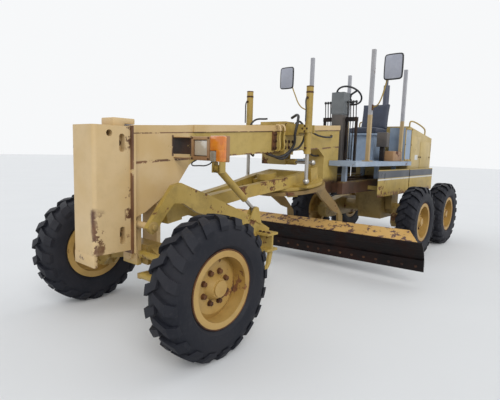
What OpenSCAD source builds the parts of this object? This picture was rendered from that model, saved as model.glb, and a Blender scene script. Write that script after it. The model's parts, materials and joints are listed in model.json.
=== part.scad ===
// Motor grader of the 3.1 m blade class with an open operator station.
// Millimetres. +Z is up, the front looks towards -Y, and +X is the machine's left side.
// The origin is on the floor, under the middle of the machine.

/* [Chassis] */
// From the front axle to the middle of the tandems
wheelbase = 5120; // [5000:10:5240]
// Between the two axles of a tandem
tandem_pitch = 1374; // [1340:2:1420]
// Between the middles of the two front tyres
front_track = 1800; // [1760:10:1880]
// Between the middles of the rear tyres, left to right
rear_track = 1900; // [1880:10:1960]
// From the front axle forward to the nose
nose_reach = 545; // [520:5:580]
// From the front axle back to the tail
tail_reach = 6615; // [6560:5:6700]

/* [Wheels] */
// Tyre outside diameter
tyre_d = 1100; // [1080:5:1110]
// Tyre section width
tyre_w = 295; // [280:5:300]
// Diameter over the rim flanges
rim_d = 610; // [590:5:630]
// Rim width over the flanges
rim_w = 236; // [220:2:240]
// Wheel disc thickness
disc_t = 14; // [10:1:18]
// Wheel studs on each hub
stud_count = 8; // [6:1:10]

/* [Front frame] */
// Width of the box beam
beam_w = 280; // [260:5:300]
// Depth of the box beam
beam_h = 310; // [290:5:320]
// Height of the beam's top over the front axle
beam_z = 1770; // [1750:5:1790]
// Rise of the beam for each millimetre towards the rear
beam_rise = 0.062; // [0.05:0.001:0.065]
// Width of the front weight
weight_w = 330; // [310:5:350]
// Height of the front weight
weight_h = 1010; // [980:5:1020]

/* [Front axle] */
// Height of the pin on which the front axle rocks
axle_pin_z = 665; // [650:5:680]
// Diameter of that pin
axle_pin_d = 70; // [60:1:76]
// From the machine's middle to the lean pin of a wheel
lean_x = 490; // [480:5:500]
// From the machine's middle to the kingpin
kingpin_x = 640; // [635:5:650]
// Kingpin diameter
kingpin_d = 44; // [38:1:50]

/* [Drawbar and circle] */
// From the front axle back to the drawbar ball
ball_y = 250; // [240:5:265]
// Height of the drawbar ball
ball_z = 985; // [975:5:995]
// Diameter of the drawbar ball
ball_d = 120; // [110:2:130]
// Slope of the drawbar as it is parked, in degrees
drawbar_tilt = 8.4; // [7.5:0.1:9]
// From the ball to the middle of the circle
circle_reach = 1950; // [1930:10:1980]
// Outside diameter of the circle
circle_d = 1000; // [960:10:1020]
// Angle of the blade across the machine as parked, in degrees
blade_yaw = 3.8; // [0:0.1:6]

/* [Blade] */
// Length of the blade
blade_l = 3150; // [3000:10:3200]
// Height of the curved mouldboard over the cutting edge's foot
blade_h = 420; // [400:5:440]
// Thickness of the mouldboard
blade_t = 16; // [12:1:20]
// Width of the sloping cover behind the mouldboard's top edge
cover_w = 262; // [230:2:280]

/* [Operator station] */
// Height of the operator's deck
deck_z = 1475; // [1460:5:1490]
// Half the distance between the left and right posts
post_x = 500; // [480:5:520]
// Height of the posts' tops
post_top = 3040; // [3000:10:3100]
// Side of the square post tube
post_w = 50; // [40:1:60]
// Steering wheel diameter
wheel_d = 420; // [380:5:440]

/* [Engine end] */
// Width of the engine hood
hood_w = 960; // [920:10:1000]
// Height of the hood's front edge
hood_z = 2085; // [2060:5:2100]
// Drop of the hood over its length
hood_drop = 160; // [140:5:180]

/* [Hidden] */
$fn = 48;
tyre_r = tyre_d / 2;
axle_y = -(tail_reach - max(nose_reach, tyre_r)) / 2;
rim_r = rim_d / 2;
beam_x = beam_w / 2;
// Play between a pin and its bore, on the radius
pin_play = 0.05;
// Gap between faces that slide or turn beside each other
side_gap = 5;
// Gap between a piece and the piece that it stands on
seat_gap = 0.3;
// Gap in a guide that a piece slides or turns in
guide_gap = 0.5;

cream = [0.84, 0.73, 0.46];
ochre = [0.76, 0.58, 0.20];
rust = [0.36, 0.20, 0.12];
dark = [0.13, 0.12, 0.12];
slate = [0.36, 0.42, 0.48];
black = [0.09, 0.09, 0.09];
steel = [0.62, 0.62, 0.60];

// Every module below measures y from the front axle
module from_axle() translate([0, axle_y, 0]) children();

// Extrudes an outline of (y, z) points across the machine, t wide and centred on x
module plate_x(points, t, x = 0)
    translate([x, 0, 0]) rotate([90, 0, 90]) translate([0, 0, -t / 2]) linear_extrude(t) polygon(points);

// Extrudes an outline of (x, z) points along the machine, t wide and centred on y
module plate_y(points, t, y = 0)
    translate([0, y + t / 2, 0]) rotate([90, 0, 0]) linear_extrude(t) polygon(points);

// Extrudes an outline of (x, y) points upwards between two heights
module plate_z(points, low, high) translate([0, 0, low]) linear_extrude(high - low) polygon(points);

// A box given by its two opposite corners
module box(low, high) translate(low) cube(high - low);

// A round bar across the machine, centred on x
module bar_x(d, l, at) translate(at) rotate([0, 90, 0]) cylinder(h = l, d = d, center = true);

// A round bar along the machine, centred on y
module bar_y(d, l, at) translate(at) rotate([90, 0, 0]) cylinder(h = l, d = d, center = true);

// A round bar from one point to another
module bar(from, to, d) {
    run = to - from;
    long = norm(run);
    translate(from) rotate([0, acos(run[2] / long), atan2(run[1], run[0])]) cylinder(h = long, d = d);
}

// Puts its children at a point with their z axis along the line to another point
module along(from, to) {
    run = to - from;
    translate(from) rotate([0, acos(run[2] / norm(run)), atan2(run[1], run[0])]) children();
}

// Its children, and their mirror image on the other side
module both_sides() {
    children();
    mirror([1, 0, 0]) children();
}

// Its children on the left side, or mirrored to the right side
module on_side(side) mirror([side < 0 ? 1 : 0, 0, 0]) children();

function turned(r, a) = r * [cos(a), sin(a)];
function arc(centre, r, start, end, steps) =
    [for (i = [0:steps]) centre + turned(r, start + (end - start) * i / steps)];

function beam_top(y) = beam_z + beam_rise * y;
function beam_foot(y) = beam_top(y) - beam_h;

// Main frame
weight_rear = -225;
flange_t = 40;
frame_front = weight_rear + flange_t;
frame_foot = 985;
column_front = 2880;
column_rear = 3290;
rail_z0 = 1000;
rail_z1 = 1180;
rail_x0 = 250;
rail_x1 = 330;
rail_front = 3110;
rail_rear = 6430;
lug_w = 210;
lug_t = 42;
axle_t = 150;
lug_front = -axle_t / 2 - side_gap - lug_t;
lug_rear = axle_t / 2 + side_gap + lug_t;
window = [[230, 1530], [440, 1680]];
scarifier_pin = [-140, 940];
scarifier_x = 330;
scarifier_t = 44;
scarifier_hang = [620, 1400];
hang_pin_d = 30;

module main_frame() color(ochre) from_axle() {
    outline = [[frame_front, beam_top(frame_front)], [column_rear, beam_top(column_rear)],
        [column_rear, rail_z0], [column_front, rail_z0], [column_front, beam_foot(column_front) - 110],
        [column_front - 150, beam_foot(column_front - 150)], [520, beam_foot(520)],
        [420, 1430], [290, 1260], [-60, 1035], [frame_front, frame_foot]];
    difference() {
        union() {
            plate_x(outline, beam_w);
            cap = 66;
            plate_x([[470, beam_top(470) - cap], [column_rear, beam_top(column_rear) - cap],
                [column_rear, beam_top(column_rear) + 4], [470, beam_top(470) + 4]], beam_w + 24);
            box([-185, weight_rear, 705], [185, frame_front, beam_top(frame_front) - 8]);
            plate_x([[frame_front, frame_foot + 60], [frame_front, 720], [frame_front + 60, frame_foot]], 120);
            box([-lug_w / 2, lug_front, axle_pin_z - 95], [lug_w / 2, lug_front + lug_t, 1060]);
            box([-lug_w / 2, lug_rear - lug_t, axle_pin_z - 95], [lug_w / 2, lug_rear, 1140]);
            bar_y(axle_pin_d + 50, lug_rear - lug_front + 24 - 2 * lug_t - axle_t - 2 * side_gap,
                [0, lug_front - 6, axle_pin_z]);
        }
        box([-beam_w, window[0][0], window[0][1]], [beam_w, window[1][0], window[1][1]]);
        bar_y(axle_pin_d + 2 * pin_play, 400, [0, 0, axle_pin_z]);
    }
    bar_y(axle_pin_d, lug_rear - lug_front + 38, [0, -11, axle_pin_z]);
    bar_y(axle_pin_d + 46, 14, [0, lug_front - 12 - 7, axle_pin_z]);
    // Neck and ball that the drawbar hangs on
    bar([0, lug_rear - 10, ball_z], [0, ball_y, ball_z], 56);
    translate([0, ball_y, ball_z]) sphere(d = ball_d);
    // Cross tube of the scarifier pins
    bar_x(56, 2 * (scarifier_x - scarifier_t / 2 - side_gap), [0, scarifier_pin[0], scarifier_pin[1]]);
    // Hanger of the scarifier cylinder: a shelf with two ears and a pin
    box([beam_x - 1, scarifier_hang[0] - 50, scarifier_hang[1] + 80],
        [scarifier_x + 58, scarifier_hang[0] + 50, scarifier_hang[1] + 104]);
    for (side = [-1, 1]) box([scarifier_x + side * 48 - 8, scarifier_hang[0] - 36, scarifier_hang[1] - 36],
        [scarifier_x + side * 48 + 8, scarifier_hang[0] + 36, scarifier_hang[1] + 81]);
    bar_x(hang_pin_d, 112, [scarifier_x, scarifier_hang[0], scarifier_hang[1]]);
    // Bracket and pin of the side-shift cylinder
    for (end = [-1, 1]) box([shift_from[0] - 40, shift_from[1] + end * 52 - 8, shift_from[2] - 40],
        [-beam_x + 60, shift_from[1] + end * 52 + 8, beam_foot(shift_from[1]) + 8]);
    bar_y(shift_pin_d, 116, shift_from);
    // Sills that carry the hood
    for (y = [hood_front, hood_rear - 80])
        box([-hood_w / 2, y, rail_z1 - 60], [hood_w / 2, y + 60, hood_z0 - seat_gap]);
    both_sides() box([rail_x0, rail_front, rail_z0], [rail_x1, rail_rear, rail_z1]);
    for (y = [rail_front + 20, 4300, 6280])
        box([-rail_x0, y, rail_z0 + 20], [rail_x0, y + 90, rail_z1 - 20]);
}

// Front weight
weight_top = beam_top(weight_rear) - 12;
module front_weight() color(cream) from_axle() {
    foot = weight_top - weight_h;
    difference() {
        union() {
            box([-weight_w / 2, -nose_reach, foot], [weight_w / 2, weight_rear - seat_gap, weight_top]);
            box([-weight_w / 2, -nose_reach, foot - 100], [weight_w / 2, -nose_reach + 32, foot + 1]);
            box([-90, weight_rear - 170, weight_top - 1], [90, weight_rear - 10, weight_top + 65]);
        }
        for (z = [foot + 60, weight_top - 205]) for (side = [-1, 1]) translate([side * weight_w / 2, 0, 0])
            box([-60, weight_rear - 100, z], [60, weight_rear - 50, z + 145]);
        bar_x(40, 2 * weight_w, [0, weight_rear - 185, weight_top - 60]);
    }
}

// Yoke that carries the blade lift cylinders
lift_x = 450;
lift_y = 1960;
lift_top = 2335;
lift_foot = 1560;
lift_barrel_d = 82;
lift_rod_d = 44;
trunnion_z = 1850;
trunnion_d = 40;
fork_y = 52;
fork_t = 26;
module lift_yoke() color(ochre) from_axle() {
    top = beam_top(lift_y) + 4;
    foot = beam_foot(lift_y);
    fork_x = lift_x - 100;
    difference() {
        union() {
            box([-beam_x - 46, lift_y - 95, foot - 36], [beam_x + 46, lift_y + 95, top + 40]);
            both_sides() plate_z([[beam_x + 40, lift_y - 90], [fork_x, lift_y - fork_y - fork_t],
                [fork_x, lift_y + fork_y + fork_t], [beam_x + 40, lift_y + 90]],
                trunnion_z - 75, trunnion_z + 55);
            both_sides() box([fork_x - 1, lift_y - fork_y - fork_t, trunnion_z - 55],
                [fork_x + 16, lift_y + fork_y + fork_t, trunnion_z + 55]);
            both_sides() for (end = [-1, 1])
                box([fork_x, lift_y + end * (fork_y + fork_t / 2) - fork_t / 2, trunnion_z - 45],
                    [lift_x + 40, lift_y + end * (fork_y + fork_t / 2) + fork_t / 2, trunnion_z + 45]);
        }
        plate_x([for (end = [-1, 1], up = [0, 1]) let (y = lift_y + end * 200)
            [y, up * end > 0 || (up == 0 && end < 0) ? beam_foot(y) - seat_gap : beam_top(y) + 4 + seat_gap]],
            beam_w + 24 + 2 * seat_gap);
        both_sides() bar_y(trunnion_d + 2 * pin_play, 400, [lift_x, lift_y, trunnion_z]);
    }
}

// Operator's deck with its steps
deck_front = 3010;
deck_rear = 5180;
deck_x = 560;
deck_t = 12;
module deck() color(slate) from_axle() {
    difference() {
        union() {
            box([-deck_x, deck_front, deck_z - deck_t], [deck_x, deck_rear, deck_z]);
            both_sides() box([deck_x - 10, deck_front, deck_z - 70], [deck_x, deck_rear, deck_z - 1]);
            box([-deck_x, deck_front, deck_z - 70], [deck_x, deck_front + 10, deck_z - 1]);
        }
        box([-beam_x - 14, deck_front - 20, deck_z - 100], [beam_x + 14, column_rear + side_gap, deck_z + 10]);
    }
    // Legs that stand on the chassis rails
    both_sides() for (y = [rail_front + 90, 4320, 5050])
        box([rail_x0 + 10, y, rail_z1 - 1 + seat_gap + 1], [rail_x1 - 10, y + 60, deck_z - deck_t + 1]);
}

// Side panels under the deck and the hood
panel_x = 560;
panel_t = 8;
panel_z0 = 930;
panel_z1 = 1345;
panel_front = 3800;
panel_rear = 6420;
module side_panels() both_sides() {
    for (span = [[panel_front, 5110], [5150, panel_rear]])
        box([panel_x - panel_t, span[0], panel_z0], [panel_x, span[1], panel_z1]);
    for (y = [panel_front + 160, 4900, 5300, 6200])
        box([rail_x1 + seat_gap, y, rail_z0 + 30], [panel_x - panel_t + 1, y + 50, rail_z0 + 90]);
}

// Console box on its column
console_y = 3440;
console_w = 200;
console_z0 = 2165;
console_z1 = 2480;
module console() color(dark) from_axle() {
    box([-console_w / 2, console_y, console_z0], [console_w / 2, console_y + 200, console_z1]);
    box([-console_w / 2 + 10, console_y + 10, deck_z + seat_gap], [console_w / 2 - 10, console_y + 190, console_z0 + 1]);
    bar(steering_foot, steering_hub - (28 + seat_gap) * steering_axis, 44);
}

// Steering wheel
steering_tilt = 38;
steering_hub = [0, 3800, 2470];
steering_axis = [0, sin(steering_tilt), cos(steering_tilt)];
steering_foot = steering_hub - 290 * steering_axis;
module steering_wheel() color(black) from_axle() translate(steering_hub) rotate([-steering_tilt, 0, 0]) {
    rotate_extrude() translate([wheel_d / 2 - 14, 0]) circle(r = 14, $fn = 24);
    for (turn = [90:120:330]) rotate([0, 0, turn])
        translate([0, -14, -8]) cube([wheel_d / 2 - 16, 28, 10]);
    translate([0, 0, -28]) cylinder(h = 40, d = 84);
}

// Banks of control levers either side of the column
lever_y = 3560;
module control_levers() color(dark) from_axle() {
    for (side = [-1, 1]) {
        box([side * 190 - 90, lever_y - 20, deck_z + seat_gap], [side * 190 - 60, lever_y + 20, 2080]);
        box([side * 190 + 60, lever_y - 20, deck_z + seat_gap], [side * 190 + 90, lever_y + 20, 2080]);
        box([side * 190 - 90, lever_y - 30, 2060], [side * 190 + 90, lever_y + 30, 2120]);
        for (i = [0:3]) {
            x = side * 190 - 66 + 44 * i;
            bar([x, lever_y, 2100], [x, lever_y - 20, 2330], 14);
            translate([x, lever_y - 20, 2340]) sphere(d = 38, $fn = 20);
        }
    }
}

// Seat stand and seat
seat_y = 4360;
seat_w = 480;
seat_z = 1985;
module seat_stand() {
    box([-190, seat_y + 30, deck_z + seat_gap], [190, seat_y + 400, seat_z - 90]);
    box([-230, seat_y - 10, seat_z - 91], [230, seat_y + 440, seat_z - 60]);
}
module seat() color(black) from_axle() {
    box([-seat_w / 2, seat_y - 10, seat_z - 60 + seat_gap], [seat_w / 2, seat_y + 450, seat_z + 40]);
    plate_x([[seat_y + 392, seat_z + 40], [seat_y + 450, seat_z + 20], [seat_y + 520, seat_z + 450],
        [seat_y + 450, seat_z + 460]], seat_w);
}

// Four posts that the canopy is missing from
post_y = [3500, 4770];
module canopy_posts() color(cream) from_axle() both_sides() for (i = [0, 1]) {
    foot = deck_z + seat_gap;
    top = post_top - 70 * i;
    box([post_x - post_w / 2, post_y[i] - post_w / 2, foot], [post_x + post_w / 2, post_y[i] + post_w / 2, top]);
    box([post_x - 55, post_y[i] - 60, foot], [post_x + 55, post_y[i] + 60, foot + 12]);
}

// Boxes beside and behind the seat
box_front = 4850;
box_rear = 5160;
module deck_boxes() color(slate) from_axle() {
    seat_stand();
    both_sides() box([270, box_front, deck_z + seat_gap], [540, box_rear, 2040]);
}

// Hood: a shell over the engine
hood_front = 5200;
hood_rear = 6440;
hood_z0 = 1190;
hood_t = 6;
function hood_top(y) = hood_z - hood_drop * (y - hood_front) / (hood_rear - hood_front);
module hood() color(ochre) from_axle() difference() {
    hood_body(0);
    hood_body(hood_t);
}
module hood_body(inset) {
    out = inset > 0 ? 10 : 0;
    plate_x([[hood_front + inset, hood_z0 - out], [hood_rear + out, hood_z0 - out],
        [hood_rear + out, hood_top(hood_rear) - inset], [hood_front + inset, hood_top(hood_front) - inset]],
        hood_w - 2 * inset);
}

// Engine, as one plain block
module engine_block() color(dark) from_axle()
    box([-rail_x1 + 30, 5380, rail_z1 + seat_gap], [rail_x1 - 30, 6150, 1800]);

// Radiator grille at the tail
module grille() color(ochre) from_axle() {
    y0 = hood_rear + seat_gap;
    top = hood_top(hood_rear);
    difference() {
        box([-hood_w / 2, y0, hood_z0], [hood_w / 2, y0 + 40, top]);
        box([-hood_w / 2 + 60, y0 - 1, hood_z0 + 60], [hood_w / 2 - 60, y0 + 41, top - 60]);
    }
    for (i = [0:8]) let (z = hood_z0 + 90 + i * (top - hood_z0 - 180) / 8)
        box([-hood_w / 2 + 59, y0 + 10, z - 12], [hood_w / 2 - 59, y0 + 30, z + 12]);
}

// Exhaust stack on the hood
stack = [-150, 5600];
module exhaust_stack() color(black) from_axle() {
    foot = hood_top(stack[1] - 75) + seat_gap;
    translate([stack[0], stack[1], foot]) cylinder(h = 30, d = 150);
    translate([stack[0], stack[1], foot]) cylinder(h = 2880 - foot, d = 113);
    translate([stack[0], stack[1], 2880 - 1]) cylinder(h = 140, d = 50);
}

// Lamps on arms that come out of the beam's window
lamp_x0 = 290;
lamp_y = 232;
lamp_z = 1600;
module front_lamps() color(rust) from_axle() both_sides() {
    // Bracket bolted to the beam's side, above and below the window
    for (z = [window[0][1] - 34, window[1][1] + 8])
        box([beam_x + seat_gap, window[0][0], z], [lamp_x0, window[0][0] + 60, z + 24]);
    box([lamp_x0 - 10, window[0][0], window[0][1] - 34], [lamp_x0, window[0][0] + 90, window[1][1] + 32]);
    box([lamp_x0 - 1, lamp_y, lamp_z - 100], [lamp_x0 + 190, lamp_y + 110, lamp_z + 95]);
    box([lamp_x0 + 189, lamp_y + 10, lamp_z - 105], [lamp_x0 + 260, lamp_y + 90, lamp_z + 95]);
}

// Mirrors on bent arms from the posts
mirror_at = [860, 3330, 2740];
module mirrors() color(black) from_axle() both_sides() {
    box(mirror_at - [125, 14, 165], mirror_at + [125, 14, 165]);
    box([post_x + post_w / 2 + seat_gap, post_y[0] - 25, 2200], [post_x + post_w / 2 + 8, post_y[0] + 25, 2280]);
    bar([post_x + post_w / 2 + 6, post_y[0], 2240], [post_x + 150, post_y[0] - 60, 2300], 18);
    translate([post_x + 150, post_y[0] - 60, 2300]) sphere(d = 24);
    bar([post_x + 150, post_y[0] - 60, 2300], mirror_at + [-60, 13, -60], 18);
}

// Rear axle housing with the gear case
pivot_z = 620;
housing_d = 210;
case_x0 = 590;
case_x1 = 750;
module rear_axle() color(ochre) from_axle() {
    bar_x(housing_d, 2 * (case_x0 - side_gap), [0, wheelbase, pivot_z]);
    bar_x(150, 2 * (case_x1 - 20), [0, wheelbase, pivot_z]);
    box([-210, wheelbase - 300, pivot_z - 170], [210, wheelbase + 260, rail_z0 + 40]);
    both_sides()
        box([rail_x0 - 30, wheelbase - 150, pivot_z], [rail_x1 + 10, wheelbase + 150, rail_z0 - seat_gap]);
}

// Tail plate with the towing eye
module tail_plate() {
    y0 = hood_rear + 45;
    box([-420, y0, 860], [420, y0 + 50, hood_z0 + 40]);
    difference() {
        box([-70, y0 + 49, 900], [70, tail_reach, 940]);
        translate([0, y0 + 88, 890]) cylinder(h = 60, d = 44);
    }
    both_sides() box([rail_x0, rail_rear + seat_gap, rail_z0], [rail_x1, y0 + 1, rail_z1]);
}
module lower_panels() color(ochre) from_axle() {
    side_panels();
    tail_plate();
}

// Front axle
axle_z = axle_pin_z;
lean_z = 560;
lean_d = 46;
axle_arm_t = 80;
lean_arm = 120;
lean_cyl_y = -112;
lean_barrel_x = [175, 400];
lean_rod_d = 30;
lean_drop = 6;
module front_axle() color(ochre) from_axle() difference() {
    union() {
        box([-190, -axle_t / 2, axle_z - 85], [190, axle_t / 2, axle_z + 85]);
        both_sides() plate_y([[180, axle_z - 85], [180, axle_z + 60], [lean_x - 40, lean_z + 50],
            [lean_x + 16, lean_z + 36], [lean_x + 24, lean_z], [lean_x + 16, lean_z - 36],
            [lean_x - 40, lean_z - 50]], axle_arm_t);
    }
    bar_y(axle_pin_d + 2 * pin_play, 400, [0, 0, axle_z]);
    both_sides() bar_y(lean_d + 2 * pin_play, 400, [lean_x, 0, lean_z]);
}

// Lean yoke: a fork on the axle's end that carries the kingpin
fork_half = axle_arm_t / 2 + side_gap;
yoke_t = 24;
yoke_out = fork_half + yoke_t;
king_half = 105;
web = [lean_x + 55, kingpin_x - 53];
lean_pin_d = 30;
lean_bar_y = 158;
bracket_y = [-axle_t / 2 - side_gap - 18, -axle_t / 2 - side_gap];
arm_z = 490;
arm_t2 = 24;
arm_reach = 180;
steer_y = -arm_reach + 17;
steer_anchor_x = 215;
module lean_yoke(side) color(ochre) from_axle() on_side(side) {
    outline = [[lean_x - 44, lean_z - 40], [lean_x - 44, lean_z + 40], [lean_x - 28, lean_z + lean_arm + 28],
        [lean_x + 28, lean_z + lean_arm + 28], [web[1], lean_z + king_half + 30],
        [web[1], lean_z - king_half - 30], [web[0], lean_z - king_half - 30]];
    for (end = [-1, 1]) plate_y(outline, yoke_t, end * (fork_half + yoke_t / 2));
    box([web[0], -fork_half - 1, lean_z - king_half - 30], [web[1], fork_half + 1, lean_z + king_half + 30]);
    for (z = [-king_half - 30, king_half]) {
        translate([kingpin_x, 0, lean_z + z]) cylinder(h = 30, d = 2 * yoke_out);
        box([web[1] - 1, -yoke_out, lean_z + z], [kingpin_x, yoke_out, lean_z + z + 30]);
    }
    bar_y(lean_d, 2 * yoke_out - 4, [lean_x, 0, lean_z]);
    translate([kingpin_x, 0, lean_z - king_half - 40]) cylinder(h = 2 * king_half + 80, d = kingpin_d);
    // Rear pin of the lean bar
    bar_y(lean_pin_d, lean_bar_y + 24 - fork_half, [lean_x, (lean_bar_y + 24 + fork_half) / 2, lean_z + lean_arm]);
    if (side > 0) {
        // Front pin of the lean cylinder
        bar_y(lean_pin_d, -lean_cyl_y + 24 - fork_half, [lean_x, (lean_cyl_y - 24 - fork_half) / 2, lean_z + lean_arm]);
        // Bracket of the steering cylinder
        box([steer_anchor_x - 20, bracket_y[0], arm_z + 1], [web[1], bracket_y[1], arm_z + 45]);
        box([web[0], bracket_y[0], arm_z + 1], [web[1], -yoke_out + 1, arm_z + 45]);
        box([steer_anchor_x - 20, steer_y - 20, arm_z + 1], [steer_anchor_x + 22, bracket_y[1] - 1, arm_z + 45]);
    }
}

// Steering knuckle with the stub axle and the steering arms
hub_x = front_track / 2;
hub_back = 70;
stub_end = 54;
boss_end = hub_x - hub_back - side_gap;
module steering_arm(reach, end) translate([kingpin_x, 0, 0])
    plate_z([[20, end * 20], [85, end * 10], [85, end * (reach - 60)], [26, end * (reach + 26)],
        [-26, end * (reach + 26)], [-26, end * (reach - 24)], [40, end * (reach - 80)]],
        arm_z - arm_t2 / 2, arm_z + arm_t2 / 2);
module knuckle(side) color(ochre) from_axle() on_side(side) {
    difference() {
        union() {
            translate([kingpin_x, 0, lean_z - king_half + 3]) cylinder(h = 2 * king_half - 6, d = 96);
            bar_x(96, boss_end - kingpin_x, [(boss_end + kingpin_x) / 2, 0, tyre_r]);
            steering_arm(arm_reach, 1);
            if (side > 0) steering_arm(arm_reach, -1);
        }
        translate([kingpin_x, 0, lean_z - king_half]) cylinder(h = 2 * king_half, d = kingpin_d + 2 * pin_play);
    }
    bar_x(stub_d, hub_x + stub_end - boss_end + 1, [(hub_x + stub_end + boss_end - 1) / 2, 0, tyre_r]);
    // Pin of the tie rod
    translate([kingpin_x, arm_reach, arm_z]) cylinder(h = 62, d = tie_pin_d);
}

// Bar that ties the two lean yokes together
module lean_bar() color(ochre) from_axle() difference() {
    union() {
        bar_x(36, 2 * lean_x, [0, lean_bar_y, lean_z + lean_arm]);
        both_sides() bar_y(58, 36, [lean_x, lean_bar_y, lean_z + lean_arm]);
    }
    both_sides() bar_y(lean_pin_d + 2 * pin_play, 60, [lean_x, lean_bar_y, lean_z + lean_arm]);
}

// Link on the left steering arm: it turns on the arm's pin and carries the end of the tie rod
tie_pin_d = 24;
tie_z = arm_z + arm_t2 / 2 + side_gap + 20;
tie_y = arm_reach + 46;
module tie_link() color(ochre) from_axle() {
    difference() {
        translate([kingpin_x, arm_reach, tie_z - 20]) cylinder(h = 40, d = 54);
        translate([kingpin_x, arm_reach, tie_z - 30]) cylinder(h = 60, d = tie_pin_d + 2 * pin_play);
    }
    bar_y(tie_pin_d, tie_y + 18 - arm_reach - 20, [kingpin_x, (tie_y + 18 + arm_reach + 20) / 2, tie_z]);
}

// Tie rod
module tie_rod() color(ochre) from_axle() difference() {
    union() {
        bar_x(34, 2 * kingpin_x - 10, [-5, tie_y, tie_z]);
        bar_y(50, 24, [kingpin_x, tie_y, tie_z]);
        translate([-kingpin_x, arm_reach, tie_z - 12]) cylinder(h = 24, d = 88);
        box([-kingpin_x - 20, arm_reach, tie_z - 12], [-kingpin_x + 30, tie_y, tie_z + 12]);
    }
    bar_y(tie_pin_d + 2 * pin_play, 60, [kingpin_x, tie_y, tie_z]);
    translate([-kingpin_x, arm_reach, tie_z - 20]) cylinder(h = 40, d = 60);
}

// Steering cylinder along the front of the axle
steer_z = arm_z + arm_t2 / 2 + side_gap + 12;
steer_barrel_x = [steer_anchor_x + 22 + seat_gap, 488];
steer_rod_d = 26;
module steer_barrel() color(ochre) from_axle() difference() {
    bar_x(56, steer_barrel_x[1] - steer_barrel_x[0], [(steer_barrel_x[0] + steer_barrel_x[1]) / 2, steer_y, steer_z]);
    bar_x(steer_rod_d + 2, 248, [steer_barrel_x[1] + 12 - 124, steer_y, steer_z]);
}
module steer_rod() color(steel) from_axle() {
    bar_x(steer_rod_d, kingpin_x - 362, [(kingpin_x + 362) / 2, steer_y, steer_z]);
    translate([kingpin_x, steer_y, steer_z - 12]) cylinder(h = 24, d = 60);
}

// Lean cylinder above it
module lean_barrel() color(ochre) from_axle() difference() {
    union() {
        bar_x(58, lean_barrel_x[1] - lean_barrel_x[0],
            [(lean_barrel_x[0] + lean_barrel_x[1]) / 2, lean_cyl_y, lean_z + lean_arm]);
        box([lean_barrel_x[0] - 24, lean_cyl_y - 29, lean_z + lean_arm - 29],
            [lean_barrel_x[0] + 1, -axle_t / 2 - seat_gap, lean_z + lean_arm + 29]);
    }
    bar_x(lean_rod_d + 2, 220, [lean_barrel_x[1] - 90, lean_cyl_y, lean_z + lean_arm]);
}
module lean_rod() color(steel) from_axle() difference() {
    union() {
        bar_x(lean_rod_d, lean_x - 300, [(lean_x + 300) / 2, lean_cyl_y, lean_z + lean_arm]);
        bar_y(66, 30, [lean_x, lean_cyl_y, lean_z + lean_arm]);
    }
    bar_y(lean_pin_d + 2 * (lean_drop + 1), 60, [lean_x, lean_cyl_y, lean_z + lean_arm]);
}

// Shell that turns on the ball
shell_t = 12;
shell_r = ball_d / 2 + shell_t;
arc_steps = 16;
// Radius whose chords touch a circle of radius r from outside, for an arc over span degrees
function outside(r, span) = r / cos(span / arc_steps / 2);
mouth = 40;
module ball_shell() color(steel) from_axle() translate([0, ball_y, ball_z]) rotate([90, 0, 0]) rotate_extrude()
    polygon(concat(arc([0, 0], shell_r, -90, mouth, arc_steps),
        arc([0, 0], outside(ball_d / 2 + pin_play, mouth + 90), mouth, -90, arc_steps)));
// Round hollow for the shell
module shell_hollow() rotate([90, 0, 0]) rotate_extrude()
    polygon(arc([0, 0], outside(shell_r + pin_play, 180), -90, 90, arc_steps));

// Local frame of the drawbar: y runs back from the ball and z stands square to the drawbar
module on_drawbar() translate([0, ball_y, ball_z]) rotate([drawbar_tilt, 0, 0]) children();

// Local frame of the circle, in the middle of its ring
ring_drop = 130;
ring_half = 22;
ring_w = 92;
module on_circle() on_drawbar() translate([0, circle_reach, -ring_drop]) rotate([0, 0, blade_yaw]) children();

lift_pin_y = (lift_y - ball_y) / cos(drawbar_tilt);
lift_ball_d = 76;
drawbar_half = 65;
module drawbar() color(ochre) from_axle() on_drawbar() {
    difference() {
        union() {
            box([-95, -50, -88], [95, 120, 88]);
            both_sides() plate_z([[20, 100], [95, 100], [150, 900], [300, 1640], [300, circle_reach + 60],
                [220, circle_reach + 60], [220, 1670], [75, 930], [20, 560]], -drawbar_half, drawbar_half);
        }
        shell_hollow();
    }
    // Rear cross member and the plate that the ring hangs from
    box([-299, circle_reach - 30, -drawbar_half], [299, circle_reach + 60, drawbar_half]);
    translate([0, circle_reach, -ring_drop + ring_half + side_gap + 2]) difference() {
        cylinder(h = ring_drop - ring_half - side_gap - 2 - drawbar_half + 1, r = circle_d / 2 - 32);
        translate([0, 0, -1]) cylinder(h = 60, r = 250);
    }
    // Shoes that hold the ring, clear of the blade arms as they turn
    translate([0, circle_reach, 0]) for (turn = [90, 225, 315]) rotate([0, 0, turn]) difference() {
        box([circle_d / 2 - ring_w - 30, -60, -ring_drop - ring_half - guide_gap - 25],
            [circle_d / 2 - ring_w + 50, 60, -drawbar_half - 1]);
        translate([0, 0, -ring_drop - ring_half - guide_gap]) difference() {
            cylinder(h = 2 * ring_half + 2 * guide_gap, r = circle_d / 2 + 80);
            translate([0, 0, -1]) cylinder(h = 100, r = circle_d / 2 - ring_w - guide_gap);
        }
    }
    // Circle drive
    translate([0, circle_reach - circle_d / 2 + ring_w + 52, -ring_drop - ring_half]) cylinder(h = 130, d = 90);
    box([-150, circle_reach - circle_d / 2 + ring_w - 60, -drawbar_half], [150, circle_reach - 200, 40]);
    translate([0, circle_reach - circle_d / 2 + ring_w + 20, 39]) cylinder(h = 70, d = 240);
    // Pads under the balls of the lift cylinders
    both_sides() box([260, lift_pin_y - 55, -drawbar_half], [lift_x + 45, lift_pin_y + 55, -lift_ball_d / 2 - side_gap]);
    // Lug of the side-shift cylinder
    box([shift_to[0] - 45, circle_reach + 59, -drawbar_half], [shift_to[0] + 45, circle_reach + 218, drawbar_half + 38]);
}

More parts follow.
